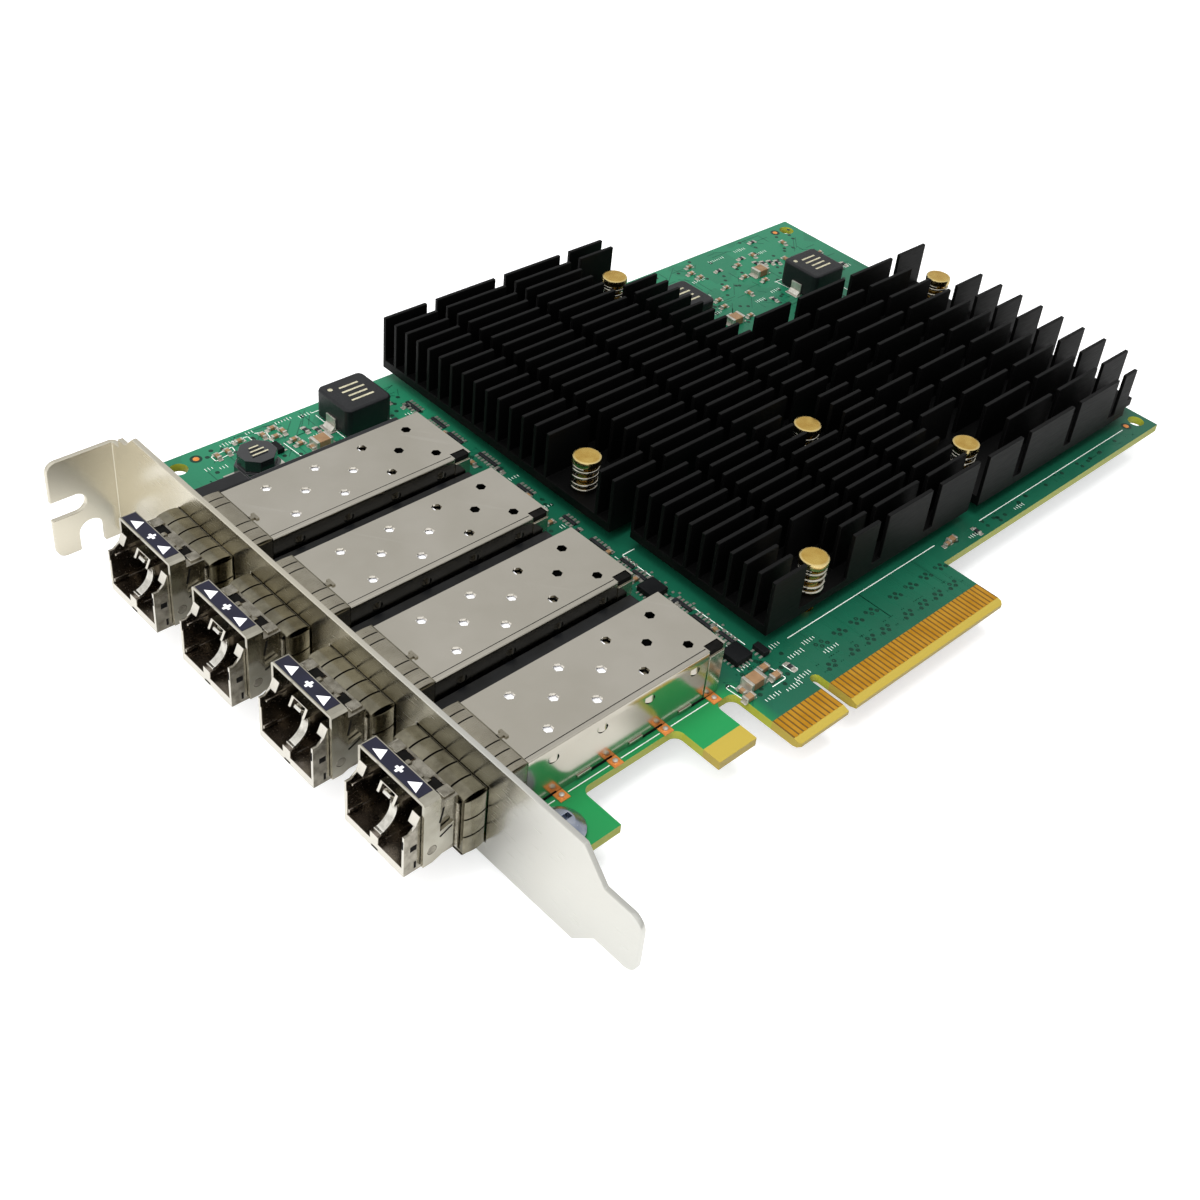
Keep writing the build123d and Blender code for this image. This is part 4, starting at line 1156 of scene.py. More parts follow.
    def slots(self, yc: float, body: str) -> None:
        """Lay painted shade in the slots of the nose and of the bail's legs.

        Args:
            yc: Middle of the module.
            body: Body of the bail.
        """
        leg, nose = Form(), Form().blocks(self.slits, (0.0, yc, 0.0)).blocks(self.windows, (0.0, yc, 0.0), "Y")
        outer = yc - self.wide / 2 - 0.63
        for tilt, x, z, length in self.leg_slits:
            along = np.array([math.cos(tilt), math.sin(tilt)])
            square = np.array([-along[1], along[0]]) * 0.16
            ends = np.array([x, z]) + np.outer([-0.5, 0.5], along) * length
            outline = np.array([ends[0] - square, ends[1] - square, ends[1] + square, ends[0] + square])
            leg.prism(outline, outer - 0.006, outer + 0.01, "Y")
            leg.prism(outline, yc + self.wide / 2 + 0.61, yc + self.wide / 2 + 0.636, "Y")
        nose.build(f"nose_slots_{self.number}", SHADE, "diecast_nickel")
        leg.build(f"bail_slots_{self.number}", SHADE, "bail_nickel", body)


@dataclass
class BoardPrint:
    """White print, fiducials, vias and tracks on both faces of the board.

    Attributes:
        lines: Printed lines, each x0, y0, x1, y1.
        marks: Left end, middle and length of each short row of strokes that stands for a part reference. A row's
            number is its seed, so the row of length 0 keeps the seeds of those after it.
        fiducials: Bare copper dots for the placing machine.
        press_fits: X of the square press-fit pads.
        press_y: Their Y.
        line: Width of a printed line, and of a stroke in a row.
        step: Distance between two strokes.
        track: Width of a track.
        via_rows: Y of each row of vias over the contacts, the X of its groups, and the places in a group.
        loose: Left low and right high corner of each field with scattered vias, and their number.
        fields: The same for the tracks: x0, x1, y0, y1 and the number of tracks.
        outlines: Frames printed on the solder face: x0, x1, y0, y1.
    """

    lines: tuple[tuple[float, float, float, float], ...] = (
        (3.4, 16.4, 41.4, 16.4), (53.8, 15.8, 101.0, 15.8), (-0.7, 46.9, -3.4, 46.9), (-3.4, 46.9, -3.3, 40.4),
        (-3.3, 30.1, -3.1, 19.6), (-41.3, 107.9, -37.0, 108.3), (-37.0, 108.3, -37.2, 107.0),
        (-37.2, 107.0, -41.3, 106.4), (-41.3, 106.4, -41.3, 107.9), (-36.3, 109.6, -33.2, 109.4),
        (-33.2, 109.4, -33.2, 108.2), (-31.7, 109.5, -30.0, 108.7), (-30.6, 105.4, -30.0, 108.7),
        (-29.4, 104.2, -29.1, 98.7), (-20.2, 108.0, -20.1, 98.2), (86.3, 93.5, 87.2, 84.6), (-4.1, 14.3, -3.6, 12.3),
        (-4.1, 14.3, -6.9, 14.3), (-3.6, 12.3, -3.6, 10.5), (-3.6, 10.5, -6.6, 10.5), (-12.5, 14.7, -11.6, 14.8),
        (-12.5, 14.7, -12.1, 10.6), (-11.6, 14.8, -10.7, 10.6), (-12.1, 10.6, -10.7, 10.6), (-1.9, 12.8, -0.8, 12.7),
        (-0.8, 12.7, -0.6, 10.7), (-0.6, 10.7, -1.7, 10.6), (-1.7, 10.6, -1.9, 12.8), (-44.6, 14.3, -36.9, 14.3),
        (-34.6, 14.3, -27.0, 14.3), (-24.6, 14.3, -16.8, 14.3), (-48.6, 14.3, -47.2, 14.3),
        (-10.2, 97.2, -10.2, 109.0), (-10.2, 109.0, -20.2, 109.0), (51.0, 88.2, 51.0, 99.6), (51.0, 99.6, 63.4, 99.6),
        (97.0, 82.5, 97.0, 93.6), (97.0, 93.6, 86.0, 93.6),
    )
    marks: tuple[tuple[float, float, int], ...] = (
        (-44.0, 105.2, 2), (-38.4, 109.6, 3), (-33.0, 110.2, 2), (-27.2, 109.9, 4), (-22.8, 109.2, 3),
        (-25.2, 102.9, 3), (-28.0, 97.3, 2), (-41.8, 104.3, 2), (-1.0, 16.6, 3), (0.2, 13.2, 4), (4.4, 14.0, 3),
        (-2.6, 9.3, 4), (-5.4, 8.6, 4), (-9.6, 9.1, 4), (5.6, 10.6, 4), (-8.2, 16.2, 3), (-2.1, 52.0, 0),
        (-6.5, 44.6, 3), (-6.8, 20.9, 2), (-9.6, 25.0, 2), (-8.8, 30.0, 3), (-6.9, 34.7, 2), (-9.6, 40.5, 2),
        (-7.0, 47.0, 3), (-9.2, 50.5, 2), (-6.6, 58.4, 2), (-9.2, 64.0, 2), (-8.0, 69.4, 2), (-9.3, 75.0, 2),
        (-7.3, 83.0, 2), (-9.0, 88.0, 2), (-7.3, 99.0, 2), (-5.0, 64.0, 2), (-5.4, 73.5, 3), (-6.0, 94.5, 2),
        (-5.2, 87.0, 2), (80.0, 107.4, 5), (70.8, 103.2, 4), (88.2, 107.6, 4), (92.0, 104.2, 3), (82.2, 91.2, 3),
        (76.4, 90.2, 3), (67.0, 97.6, 4), (64.8, 91.8, 3), (99.4, 98.4, 6), (101.2, 89.5, 6), (60.2, 105.6, 4),
        (56.0, 102.6, 3), (48.4, 13.9, 3), (62.0, 13.9, 3),
    )
    fiducials: Pairs = ((-43.6, 108.8), (102.7, 108.7), (102.9, 16.1))
    press_fits: Row = (-45.9, -35.8, -25.8, -15.6)
    press_y: float = 14.29
    line: Pair = (0.16, 0.1)
    step: float = 0.6
    track: float = 0.17
    via_rows: tuple = (
        (11.9, (6.6, 11.0, 15.2, 19.0, 25.3, 29.4, 33.5, 37.5), ((-0.8, 0.7), (-0.2, -0.1), (0.5, 0.7), (1.1, -0.1))),
        (8.0, (4.0, 9.5, 13.5, 17.3, 23.2, 27.2, 31.1, 35.2), ((-0.7, -0.4), (0.0, 0.4), (0.7, -0.4), (1.3, 0.4))))
    loose: tuple = (((-12.0, 9.5), (0.0, 16.0), 16), ((-45.0, 95.5), (-21.0, 110.5), 34),
                    ((-11.0, 17.0), (-3.6, 108.0), 90), ((53.0, 75.5), (107.5, 110.0), 110),
                    ((42.0, 13.4), (101.0, 15.4), 24))
    fields: tuple[Row, ...] = ((-45, -21, 96, 110.5, 46), (53, 107, 76, 110, 120), (-11.5, -3.6, 16, 108, 90),
                               (-12, 2, 7.5, 15.8, 26), (42, 104, 13.2, 15.5, 26))
    outlines: tuple[Row, ...] = (
        (-3, 50, 52, 110), (0, 51, 18.5, 47), (55, 106, 18.5, 72), (-52, -14, 86, 74), (-52, -14, 54.6, 67.5),
        (-52, -14, 35.2, 48.1), (-52, -14, 15.8, 28.8))

    def build(self) -> None:
        """Print, drill and run the board's surface details."""
        self.print_front()
        self.copper()
        self.vias()
        self.tracks()
        self.print_back()

    def print_front(self) -> None:
        """Lay the printed lines and the stroke rows on the component face."""
        ink = Form().strokes(np.array(self.lines), self.line[0], 0.0, 0.02)
        rows = [self.row(x, y, count, seed) for seed, (x, y, count) in enumerate(self.marks) if count]
        ink.strokes(np.concatenate(rows), self.line[1], 0.0, 0.02)
        ink.build("board_print", SILK, "board")

    def row(self, x: float, y: float, count: int, seed: int) -> np.ndarray:
        """Work out one row of plain upright ticks of three heights, with the same middle.

        Args:
            x: Left end.
            y: Middle.
            count: Length of the row in steps of 0.85 mm.
            seed: Seed for the heights.

        Returns:
            Stroke ends, n by 4.
        """
        at = np.arange(0.0, count * 0.85, self.step)
        tall = np.random.default_rng(100 + seed).choice([0.22, 0.32, 0.42], len(at))
        return np.column_stack([x + at, y - tall, x + at, y + tall])

    def copper(self) -> None:
        """Set the fiducials in a clear ring of bare laminate, and the tails in the square pads."""
        dots, rings, tails = Form(), Form(), Form()
        feet = [(x, y, 0.0) for x, y in self.fiducials]
        rings.lathe([(1.05, 0.0), (1.05, 0.012), (0.05, 0.013)], feet, 28)
        dots.lathe([(0.55, 0.0), (0.55, 0.03), (0.45, 0.045), (0.05, 0.045)], feet, 24)
        pads = [(x, self.press_y, 0.15) for x in self.press_fits]
        dots.lathe([(0.62, 0.0), (0.58, 0.03), (0.05, 0.035)], pads, 20)
        tails.lathe([(0.42, 0.0), (0.4, 0.28), (0.22, 0.42), (0.05, 0.45)], pads, 16)
        rings.build("fiducial_rings", VIA, "board")
        dots.build("fiducial_dots", COPPER_PAD, "copper_pad")
        tails.build("press_fit_tails", TINNED, "tinned")

    def vias(self) -> None:
        """Punch the via rings: a ring with its rim 0.02 mm up and its middle at the board."""
        choice = np.random.default_rng(7)
        feet = [(x + dx, y + dy) for y, row, group in self.via_rows for x in row for dx, dy in group]
        feet += [foot for low, high, count in self.loose for foot in choice.uniform(low, high, (count, 2)).tolist()]
        angle = np.linspace(0, 2 * math.pi, 10, endpoint=False)
        ring = np.column_stack([np.cos(angle), np.sin(angle)])
        levels = ((0.42, 0.0), (0.36, 0.022), (0.2, 0.022), (0.14, 0.004))
        shape = np.stack([np.column_stack([ring * r, np.full(10, z)]) for r, z in levels])
        holes = Form()
        back = choice.uniform((-50.0, 17.0), (106.0, 109.0), (420, 2))
        for x, y in feet:
            holes.loft(shape + (x, y, 0.0))
        for x, y in back:
            holes.loft(shape * (1, 1, -1) + (x, y, BACK_Z))
        holes.build("board_vias", VIA, "board", smooth=60.0)

    def tracks(self) -> None:
        """Run lacquered tracks: pairs from the contacts to the chips, and short runs beside the heat sinks."""
        runs = []
        for i, x in enumerate(np.arange(2.5, 38.5, 1.95)):
            for side in (-0.22, 0.22):
                knee = x + side + 1.1 * math.sin(i * 1.7)
                runs += [(x + side, 5.7, x + side, 7.6), (x + side, 7.6, knee, 9.4), (knee, 9.4, knee, 16.2)]
        choice = np.random.default_rng(21)
        for x0, x1, y0, y1, count in self.fields:
            start = choice.uniform((x0, y0), (x1, y1), (count, 2))
            length = choice.uniform(1.5, 7.0, count)
            way = choice.integers(0, 4, count) * math.pi / 4
            mid = start + length[:, None] * np.column_stack([np.cos(way), np.sin(way)])
            mid = np.clip(mid, (x0, y0), (x1, y1))
            runs += np.column_stack([start, mid]).tolist()
        Form().strokes(np.array(runs), self.track, 0.0, 0.015).build("board_tracks", TRACK, "board")

    def print_back(self) -> None:
        """Print outlines and strokes on the solder face, and run its tracks."""
        z, count = BACK_Z, 420
        frames = []
        for x0, x1, y0, y1 in self.outlines:
            frames += [(x0, y0, x1, y0), (x1, y0, x1, y1), (x1, y1, x0, y1), (x0, y1, x0, y0)]
        rows = [self.row(x, y, 3, 300 + i) for i, (x, y) in enumerate(
            np.random.default_rng(5).uniform((-48, 17), (102, 108), (60, 2)))]
        ink = Form().strokes(np.array(frames, float), 0.2, z - 0.02, z)
        ink.strokes(np.concatenate(rows), 0.14, z - 0.02, z)
        ink.build("board_print_back", SILK, "board")
        choice = np.random.default_rng(9)
        start = choice.uniform((-52, 17), (104, 108), (count, 2))
        way = choice.integers(0, 4, count) * math.pi / 4
        stop = start + choice.uniform(3, 16, count)[:, None] * np.column_stack([np.cos(way), np.sin(way)])
        stop = np.clip(stop, (-54, 15.5), (107, 110))
        Form().strokes(np.column_stack([start, stop]), self.track, z - 0.015, z).build(
            "board_tracks_back", TRACK, "board")


@dataclass
class ChipParts:
    """Small two-ended chip parts, their solder, and a few small packages.

    Attributes:
        caps: Ceramic chips seen in the photograph: x, y, turned (1) or not (0).
        resistors: Resistors seen in the photograph, in the same way.
        packages: Middles of the six-legged packages.
        squares: Middles of the square chips with four legs on each side.
        large: Middles of the large ceramic capacitors.
        medium: Middles of the middle-sized ones.
        large_ends: End caps and solder of a large one.
        medium_ends: End caps and solder of a middle-sized one.
        package: Body of a six-legged package.
        package_legs: Its legs.
        square_legs: Legs of a square chip along two of its sides.
        test_pads: Bare pads beside the cages, a group of three.
        test_y: Y of the first group, of the last one and their distance.
        arrays: Y of the ends of each fine-pitch array.
        long: Length of a small chip.
        wide: Width of a small chip.
        high: Height of a small chip.
        array_pitch: Distance between two pads of an array.
    """

    caps: tuple[tuple[float, float, int], ...] = (
        (-27.6, 103.9, 0), (-27.4, 102.3, 0), (-26.4, 100.2, 1), (-29.6, 106.4, 0), (-27.7, 107.0, 1),
        (-40.5, 107.1, 1), (-38.4, 107.3, 1), (-35.3, 108.8, 0), (-28.8, 108.8, 0), (-31.1, 107.9, 1),
        (74.5, 108.2, 0), (72.8, 106.0, 0), (73.3, 103.8, 0), (84.0, 102.9, 0), (81.6, 98.6, 0), (84.4, 95.2, 0),
        (90.3, 104.0, 1), (95.3, 98.9, 1), (74.8, 97.6, 0), (77.6, 93.2, 1), (69.7, 94.9, 0), (68.8, 92.4, 0),
        (70.8, 86.9, 0), (67.5, 88.8, 1), (-7.0, 22.6, 0), (-4.6, 24.6, 1), (-8.6, 26.8, 0), (-6.2, 41.0, 0),
        (-8.0, 44.0, 1), (-5.0, 48.6, 0), (-7.4, 60.2, 0), (-5.6, 67.8, 1), (-7.2, 80.6, 1), (-5.8, 90.4, 0),
        (-8.4, 96.0, 0), (43.4, 15.1, 0), (-11.2, 12.6, 1), (52.2, 104.8, 0), (56.6, 108.0, 1), (62.4, 108.6, 0),
        (66.2, 100.6, 1), (100.4, 104.2, 1), (103.8, 96.6, 0), (98.8, 79.6, 0), (84.4, 79.8, 0), (72.2, 79.4, 1),
        (60.4, 80.8, 0), (56.2, 84.8, 1), (104.6, 84.0, 1),
    )
    resistors: tuple[tuple[float, float, int], ...] = (
        (-33.4, 106.2, 0), (-24.3, 105.2, 1), (-22.6, 104.0, 1), (-1.3, 11.7, 1), (88.4, 101.2, 1), (89.8, 100.4, 1),
        (91.4, 99.8, 1), (92.8, 99.0, 1), (87.0, 104.6, 0), (-6.6, 31.6, 0), (-4.8, 33.4, 1), (-7.8, 52.4, 1),
        (-5.2, 56.0, 0), (-7.6, 71.6, 0), (-4.6, 76.4, 1), (-6.4, 85.0, 0), (-7.6, 104.2, 1), (-5.6, 101.0, 0),
        (64.0, 103.0, 0), (78.8, 103.6, 0), (80.2, 88.6, 1), (94.6, 108.4, 0), (104.8, 90.2, 1), (76.6, 84.4, 0),
        (50.8, 14.2, 1),
    )
    packages: Pairs = ((-2.4, 16.9), (-8.2, 33.6), (-31.4, 103.2))
    squares: Pairs = ((-6.3, 18.5), (-5.9, 37.4))
    large: Pairs = ((-8.7, 12.7), (-24.5, 100.2), (85.6, 97.8), (66.4, 87.1))
    medium: Pairs = ((-5.2, 13.9), (-4.9, 11.6), (-11.6, 10.9), (44.7, 15.3))
    large_ends: Blocks = ((1.4, 0.0, 0.82, (0.6, 2.4, 1.66)), (1.9, 0.0, 0.12, (0.8, 2.3, 0.24)))
    medium_ends: Blocks = ((0.8, 0.0, 0.47, (0.4, 1.16, 0.95)), (1.1, 0.0, 0.08, (0.5, 1.1, 0.16)))
    package: Blocks = ((0.0, 0.0, 0.6, (1.3, 2.6, 0.9)),)
    package_legs: Blocks = tuple((0.95, y, 0.1, (0.75, 0.35, 0.16)) for y in (-0.9, 0.0, 0.9))
    square_legs: Blocks = tuple((2.0, y, 0.1, (0.7, 0.3, 0.18)) for y in (-1.2, -0.4, 0.4, 1.2))
    test_pads: Blocks = tuple((x, y, 0.04, (0.45, 0.4, 0.08)) for x, y in ((-3.3, 0.0), (-2.6, 0.8), (-3.3, 1.6)))
    test_y: Place = (24.0, 43.0, 3.2)
    arrays: Pairs = (
        (21.2, 23.8), (25.0, 29.3), (30.4, 34.2), (40.2, 43.0), (43.6, 46.4), (49.6, 53.4), (57.6, 60.8), (68.0, 71.2),
        (78.0, 82.4), (86.6, 89.8), (92.0, 96.0), (98.6, 102.4))
    long: float = 1.5
    wide: float = 0.78
    high: float = 0.6
    array_pitch: float = 0.8

    def build(self) -> None:
        """Place the chips on both faces."""
        choice = np.random.default_rng(31)
        back = np.column_stack([choice.uniform((-2, 20), (104, 108), (150, 2)), choice.integers(0, 2, 150)])
        bodies, glass, ends, backing = Form(), Form(), Form(), Form()
        self.place(bodies, ends, np.array(self.caps, float), 0.0, 1, self.high)
        self.place(glass, ends, np.array(self.resistors, float), 0.0, 1, 0.35)
        self.place(backing, ends, back, BACK_Z, -1, 0.5)
        bodies.build("chip_capacitors", CERAMIC, "ceramic_brown", round_mm=0.06)
        glass.build("chip_resistors", RESISTOR, "package", round_mm=0.05)
        backing.build("chip_capacitors_back", CERAMIC, "ceramic_brown")
        ends.build("chip_ends", TINNED, "tinned", round_mm=0.05)
        self.small_packages()
        self.fine_rows()
        self.big_ends()

    def place(self, bodies: Form, ends: Form, rows: np.ndarray, z: float, way: int, high: float) -> None:
        """Add the body, two end caps and two solder feet of each chip.

        Args:
            bodies: Form that takes the bodies.
            ends: Form that takes caps and solder.
            rows: x, y and a quarter turn (0 or 1), n by 3.
            z: Board face.
            way: +1 on the component face, -1 on the solder face.
            high: Height of the chips.
        """
        count = len(rows)
        turn = rows[:, 2] * math.pi / 2
        along = np.column_stack([np.cos(turn), np.sin(turn)])
        middle = np.column_stack([rows[:, :2], np.full(count, z + way * (high / 2 + 0.02))])
        bodies.boxes(middle, (self.long - 0.5, self.wide - 0.06, high - 0.05), turn)
        for side in (-1, 1):
            shift = np.column_stack([along * side * (self.long / 2 - 0.18), np.zeros(count)])
            ends.boxes(middle + shift, (0.36, self.wide, high), turn)
            foot = middle + np.column_stack([along * side * (self.long / 2 + 0.1), np.zeros(count)])
            foot[:, 2] = z + way * 0.05
            ends.boxes(foot, (0.75, self.wide + 0.15, 0.1), turn)

    def small_packages(self) -> None:
        """Add three small six-legged packages with bent legs, and legs on the two square chips."""
        moulded, legs = Form(), Form()
        for x, y in self.packages:
            moulded.blocks(self.package, (x, y, 0.0))
            legs.blocks(self.package_legs, (x, y, 0.0), "X")
        turned = tuple((y, x, z, (size[1], size[0], size[2])) for x, y, z, size in self.square_legs)
        for x, y in self.squares:
            legs.blocks(self.square_legs, (x, y, 0.0), "X").blocks(turned, (x, y, 0.0), "Y")
        for y in np.arange(*self.test_y):
            legs.blocks(self.test_pads, (0.0, y, 0.0))
        moulded.build("small_packages", PACKAGE, "package", round_mm=0.12)
        legs.build("package_legs", TINNED, "tinned")

    def fine_rows(self) -> None:
        """Line up fine-pitch resistor arrays beside the heat sinks: two rows of pads and a block on them."""
        pads, blocks = Form(), Form()
        for number, (low, high) in enumerate(self.arrays):
            at = np.arange(low, high, self.array_pitch)
            x = -4.3 - 0.5 * (number % 2)
            for side in (-1, 1):
                rows = np.column_stack([np.full(len(at), x + side * 0.8), at, np.full(len(at), 0.1)])
                pads.boxes(rows, (0.66, 0.46, 0.2))
            blocks.boxes([(x, (at[0] + at[-1]) / 2, 0.19)], (0.62, at[-1] - at[0] + 0.6, 0.36))
        pads.build("array_pads", TINNED, "tinned")
        blocks.build("resistor_arrays", RESISTOR, "package", round_mm=0.06)

    def big_ends(self) -> None:
        """Cap the ends of the larger ceramic capacitors and set them in solder."""
        ends = Form()
        for places, blocks in ((self.large, self.large_ends), (self.medium, self.medium_ends)):
            for x, y in places:
                ends.blocks(blocks, (x, y, 0.0), "X")
        ends.build("capacitor_ends", TINNED, "tinned", round_mm=0.1)


@dataclass
class Inductors:
    """Pads, terminals and the plain top marks of the inductors.

    Attributes:
        coils: Middles of the three moulded inductors.
        wide: Their width.
        top: Their height.
        shielded: Middle of the octagonal one.
        pad: Solder pad of a moulded one.
        bars: Bars printed on it.
        shielded_tin: Pads and terminals of the octagonal one.
        shielded_copper: Bare copper beside it.
        shielded_bars: Bars printed on it.
    """

    coils: Pairs = ((-15.4, 103.3), (57.4, 94.0), (91.0, 88.0))
    wide: float = 9.5
    top: float = 5.9
    shielded: Pair = (-37.6, 99.6)
    pad: Blocks = ((5.65, 0.0, 0.1, (1.4, 3.2, 0.2)),)
    bars: Blocks = tuple((0.3, y, 5.91, (x, 0.42, 0.02)) for x, y in ((4.6, -2.1), (3.9, -0.7), (4.6, 0.7), (3.9, 2.1)))
    shielded_tin: Blocks = ((-4.1, 0.2, 0.08, (2.2, 4.4, 0.16)), (4.1, -0.2, 0.08, (2.2, 4.4, 0.16)),
                            (-2.2, -3.7, 0.3, (1.6, 0.9, 0.6)), (2.2, -3.7, 0.3, (1.6, 0.9, 0.6)))
    shielded_copper: Blocks = ((-4.6, -1.9, 0.03, (1.2, 1.0, 0.06)), (4.4, -2.6, 0.03, (1.2, 1.0, 0.06)))
    shielded_bars: Blocks = tuple((0.0, y, 4.81, (x, 0.3, 0.02)) for x, y in ((2.6, 0.0), (1.8, 1.0), (3.0, -1.0)))

    def build(self) -> None:
        """Add solder pads, bent terminals and a plain printed field on each inductor."""
        tin, ink, copper = Form(), Form(), Form()
        edge = self.wide / 2
        for x, y in self.coils:
            tin.blocks(self.pad, (x, y, 0.0), "X")
            ink.blocks(self.bars, (x, y, 0.0))
            for side in (-1, 1):
                slant = [(x + side * (edge + out), z) for out, z in ((0.32, 0.2), (1.1, 0.2), (0.32, 1.0))]
                tin.prism(slant, y - 1.3, y + 1.3, "Y")
            ink.lathe([(0.45, 0.0), (0.4, 0.02), (0.05, 0.02)], [(x - 3.2, y + 2.6, self.top)], 16)
        centre = (*self.shielded, 0.0)
        tin.blocks(self.shielded_tin, centre)
        copper.blocks(self.shielded_copper, centre)
        ink.blocks(self.shielded_bars, centre)
        tin.build("inductor_solder", TINNED, "tinned", round_mm=0.08)
        ink.build("inductor_marks", MARK, "inductor_black")
        copper.build("inductor_copper", COPPER_PAD, "copper_pad")


@dataclass
class EndStrip:
    """Raised end of the black strip beside the outermost cage, behind the bracket.

    Attributes:
        along: X of its ends.
        across: Y of its sides.
        foot: Top of the strip that it stands on.
        top: Its upper face.
        slope: Width of the sloping edges.
        step: Height and length of the step at the rear.
    """

    along: Pair = (-55.6, -46.2)
    across: Pair = (88.0, 91.2)
    foot: float = 6.4
    top: float = 9.5
    slope: float = 0.35
    step: float = 1.2

    def build(self) -> None:
        """Mould the raised end with sloping edges and a stepped rear."""
        low, high = self.across
        side = [(low, self.foot), (low, self.top - self.slope), (low + self.slope, self.top),
                (high - self.slope, self.top), (high, self.top - self.slope), (high, self.foot)]
        strip = Form().prism(side, self.along[0], self.along[1], "X")
        low, high, top = low + self.slope - 0.05, high - self.slope + 0.05, self.top - self.step
        step = [(low, self.foot), (low, top), (high, top), (high, self.foot)]
        strip.prism(step, self.along[1], self.along[1] + self.step, "X")
        strip.build("end_strip", BLACK_STRIP, "black_strip", round_mm=0.12)


@dataclass
class SolderSide:
    """Tails and solder cones that show on the solder face.

    Attributes:
        cage_x: X of the cages' tails.
        rear_x: X of their thin tail at the rear.
        cage_side: Their Y, to both sides of the middle of a cage.
        host_x: X of the first tail of a host connector, and their pitch.
        host_side: Their Y, in the same way.
        host_count: Tails in one row of a host connector.
        cone: Radius and height of a solder cone.
        small: Size of the cones of thin tails against the others.
    """

    cage_x: Row = (-54.0, -45.9, -35.8, -25.8)
    rear_x: float = -15.6
    cage_side: float = 6.9
    host_x: Pair = (-23.6, 0.8)
    host_side: float = 4.6
    host_count: int = 10
    cone: Pairs = ((0.62, 0.0), (0.5, -0.12), (0.3, -0.45), (0.26, -0.75), (0.05, -0.8))
    small: float = 0.55

    def build(self) -> None:
        """Set a solder cone at every tail of the cages and host connectors."""
        cones, profile = Form(), np.array(self.cone)
        first, pitch = self.host_x
        thin = [(self.rear_x, self.cage_side)]
        thin += [(first + pitch * k, self.host_side) for k in range(self.host_count)]
        thick = [(x, self.cage_side) for x in self.cage_x]
        for yc in PORT_Y:
            for tails, size in ((thick, 1.0), (thin, self.small)):
                feet = [(x, yc + side * aside, BACK_Z) for x, aside in tails for side in (-1, 1)]
                cones.lathe(profile * size, feet, 10)
        cones.build("solder_cones", TINNED, "tinned", smooth=60.0)


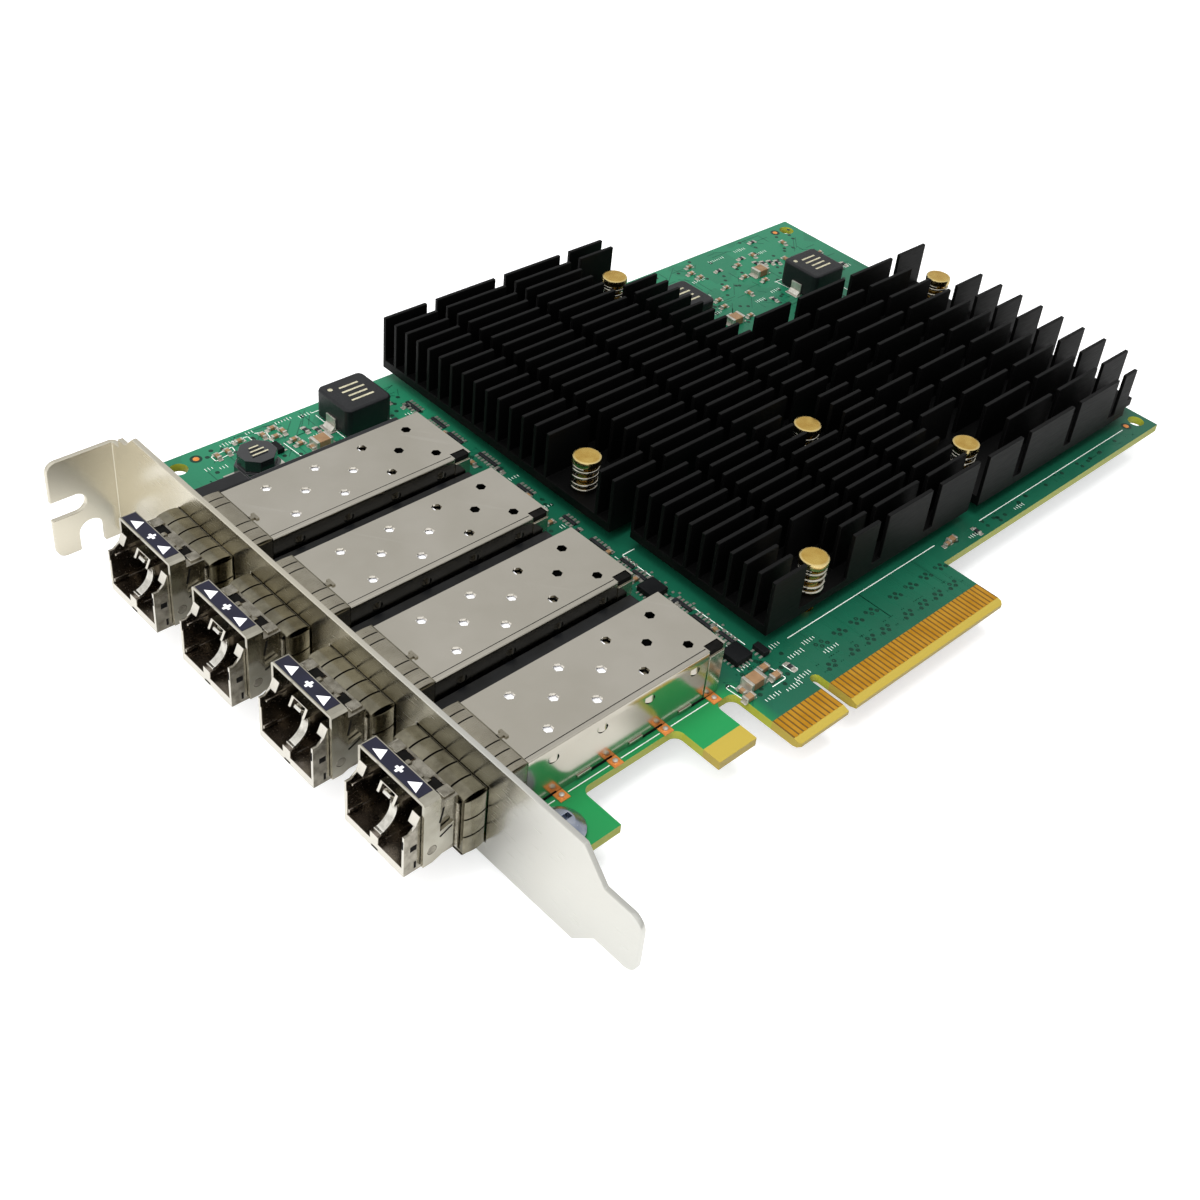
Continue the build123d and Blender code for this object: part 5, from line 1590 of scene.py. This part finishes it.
@dataclass
class Studio:
    """Pale floor, soft lamps and the camera of the photograph.

    Attributes:
        camera_place: Camera position.
        azimuth: Turn of the camera about Z in degrees.
        elevation: Height angle of the camera in degrees.
        roll: Roll of the camera in degrees.
        lens: Focal length on a 36 mm sensor.
        shift: Lens shift.
        floor_z: Level of the table.
        floor_half: Half the table's side.
        floor_colour: Colour of the table, sRGB hex.
        floor_glow: Light added to the table for the camera, and for what mirrors it.
        ambient: Even light that the room gives to dull surfaces.
        window: Direction of the bright side of the room.
        mirrored: Darkest and brightest part of the room as metal mirrors it.
        boxes: Name, place, side and power of each soft box.
        target: Point that the soft boxes face.
    """

    camera_place: Place = (-154.6, -89.1, 165.1)
    azimuth: float = -50.18
    elevation: float = 36.93
    roll: float = 8.38
    lens: float = 48.05
    shift: Pair = (-0.0644, -0.0814)
    floor_z: float = -7.35
    floor_half: float = 1500.0
    floor_colour: str = "#d2d2d2"
    floor_glow: Pair = (0.6, 0.12)
    ambient: float = 0.4
    window: Place = (-0.62, -0.25, 0.74)
    mirrored: Pair = (0.68, 1.05)
    boxes: tuple[tuple[str, Place, float, float], ...] = (
        ("top_soft_box", (-60.0, 60.0, 560.0), 420.0, 3.4), ("side_soft_box", (-380.0, -60.0, 330.0), 360.0, 2.0))
    target: Place = (20.0, 50.0, 0.0)

    def build(self) -> None:
        """Make the world, floor, lamps and camera, and set the view transform."""
        scene = bpy.context.scene
        scene.view_settings.view_transform = "Standard"
        self.make_world(scene)
        self.make_floor()
        self.make_lamps()
        self.make_camera(scene)
        LOG.info("studio ready")

    def rays(self, tree: Tree) -> tuple[Socket, Socket]:
        """Tell the rays that come straight from the camera, and those that come by a mirror or through glass.

        Args:
            tree: Node tree of the world or of a material.

        Returns:
            A mask that is 1 for the first kind, and one for the second.
        """
        path = add_node(tree, "LightPath").outputs
        mirror = add_node(tree, "Math", {0: path["Is Glossy Ray"], 1: path["Is Transmission Ray"]},
                          operation="MAXIMUM").outputs[0]
        return path["Is Camera Ray"], mirror

    def make_world(self, scene: bpy.types.Scene) -> None:
        """Even pale surroundings that mirror as white in the metal parts.

        Args:
            scene: Scene that is set up.
        """
        world = bpy.data.worlds.new("pale_room")
        world.use_nodes = True
        tree = world.node_tree
        tree.nodes.clear()
        by_camera, by_mirror = self.rays(tree)
        way = add_node(tree, "TexCoord").outputs["Object"]
        bright = add_node(tree, "VectorMath", {0: way, 1: self.window}, operation="DOT_PRODUCT").outputs["Value"]
        room = add_node(tree, "MapRange", {"Value": bright, "From Min": -0.2, "From Max": 0.9,
                                           "To Min": self.mirrored[0], "To Max": self.mirrored[1]},
                        interpolation_type="SMOOTHSTEP").outputs[0]
        shown = self.ambient
        for mask, value in ((by_mirror, room), (by_camera, 1.0)):
            shown = add_node(tree, "Mix", {"Factor": mask, "A": shown, "B": value}).outputs[0]
        back = add_node(tree, "Background", {"Color": (1.0, 1.0, 1.0, 1.0), "Strength": shown})
        output = add_node(tree, "OutputWorld")
        tree.links.new(back.outputs[0], output.inputs["Surface"])
        scene.world = world

    def make_floor(self) -> None:
        """Lay the white table under the card."""
        half, level = self.floor_half * MM, self.floor_z * MM
        mesh = bpy.data.meshes.new("table_top")
        corners = [(-half, -half, level), (half, -half, level), (half, half, level), (-half, half, level)]
        mesh.from_pydata(corners, [], [(0, 1, 2, 3)])
        floor = bpy.data.objects.new("table_top", mesh)
        bpy.context.scene.collection.objects.link(floor)
        material = bpy.data.materials.new("white_table")
        material.use_nodes = True
        tree = material.node_tree
        tree.nodes.clear()
        by_camera, by_mirror = self.rays(tree)
        shader = add_node(tree, "BsdfPrincipled", {"Base Color": linear(self.floor_colour), "Roughness": 0.5})
        mirrored = add_node(tree, "Math", {0: by_mirror, 1: self.floor_glow[1]}, operation="MULTIPLY")
        lift = add_node(tree, "Mix", {"Factor": by_camera, "A": mirrored.outputs[0], "B": self.floor_glow[0]})
        glow = add_node(tree, "Emission", {"Color": (1.0, 1.0, 1.0, 1.0), "Strength": lift.outputs[0]})
        both = add_node(tree, "AddShader", {0: shader.outputs[0], 1: glow.outputs[0]})
        output = add_node(tree, "OutputMaterial")
        tree.links.new(both.outputs[0], output.inputs["Surface"])
        mesh.materials.append(material)

    def make_lamps(self) -> None:
        """Hang two large soft boxes, one over the card and one from the left front."""
        target = Vector(self.target) * MM
        for name, place, side, watts in self.boxes:
            lamp = bpy.data.lights.new(name, "AREA")
            lamp.size = side * MM
            lamp.energy = watts
            holder = bpy.data.objects.new(name, lamp)
            holder.location = Vector(place) * MM
            holder.visible_glossy = False
            holder.rotation_euler = (target - holder.location).to_track_quat("-Z", "Y").to_euler()
            bpy.context.scene.collection.objects.link(holder)

    def make_camera(self, scene: bpy.types.Scene) -> None:
        """Set up the camera from its azimuth, elevation, roll and place.

        The back axis is (sin a cos e, -cos a cos e, sin e); right is level and is then turned by the roll.

        Args:
            scene: Scene that is set up.
        """
        turn, rise, roll = (math.radians(v) for v in (self.azimuth, self.elevation, self.roll))
        back = Vector((math.sin(turn) * math.cos(rise), -math.cos(turn) * math.cos(rise), math.sin(rise)))
        level = Vector((math.cos(turn), math.sin(turn), 0.0))
        upright = back.cross(level)
        right = math.cos(roll) * level + math.sin(roll) * upright
        up = math.cos(roll) * upright - math.sin(roll) * level
        data = bpy.data.cameras.new("photo_camera")
        data.sensor_width = 36.0
        data.lens = self.lens
        data.shift_x, data.shift_y = self.shift
        data.clip_start, data.clip_end = 0.01, 20.0
        camera = bpy.data.objects.new("photo_camera", data)
        turned = Matrix((right, up, back)).transposed().to_4x4()
        camera.matrix_world = Matrix.Translation(Vector(self.camera_place) * MM) @ turned
        scene.collection.objects.link(camera)
        scene.camera = camera


def main() -> None:
    """Build the pieces in order."""
    logging.basicConfig(level=logging.INFO, format="%(name)s: %(message)s")
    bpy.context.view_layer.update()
    CadDress().build()
    for number in range(1, len(PORT_Y) + 1):
        ShieldFingers(number).build()
        CageTrim(number).build()
        ModuleNose(number).build()
    for assembly in (PinsAndSprings(), BoardPrint(), ChipParts(), Inductors(), EndStrip(), SolderSide()):
        assembly.build()
    Studio().build()
    bpy.context.view_layer.update()


if __name__ == "__main__":
    main()
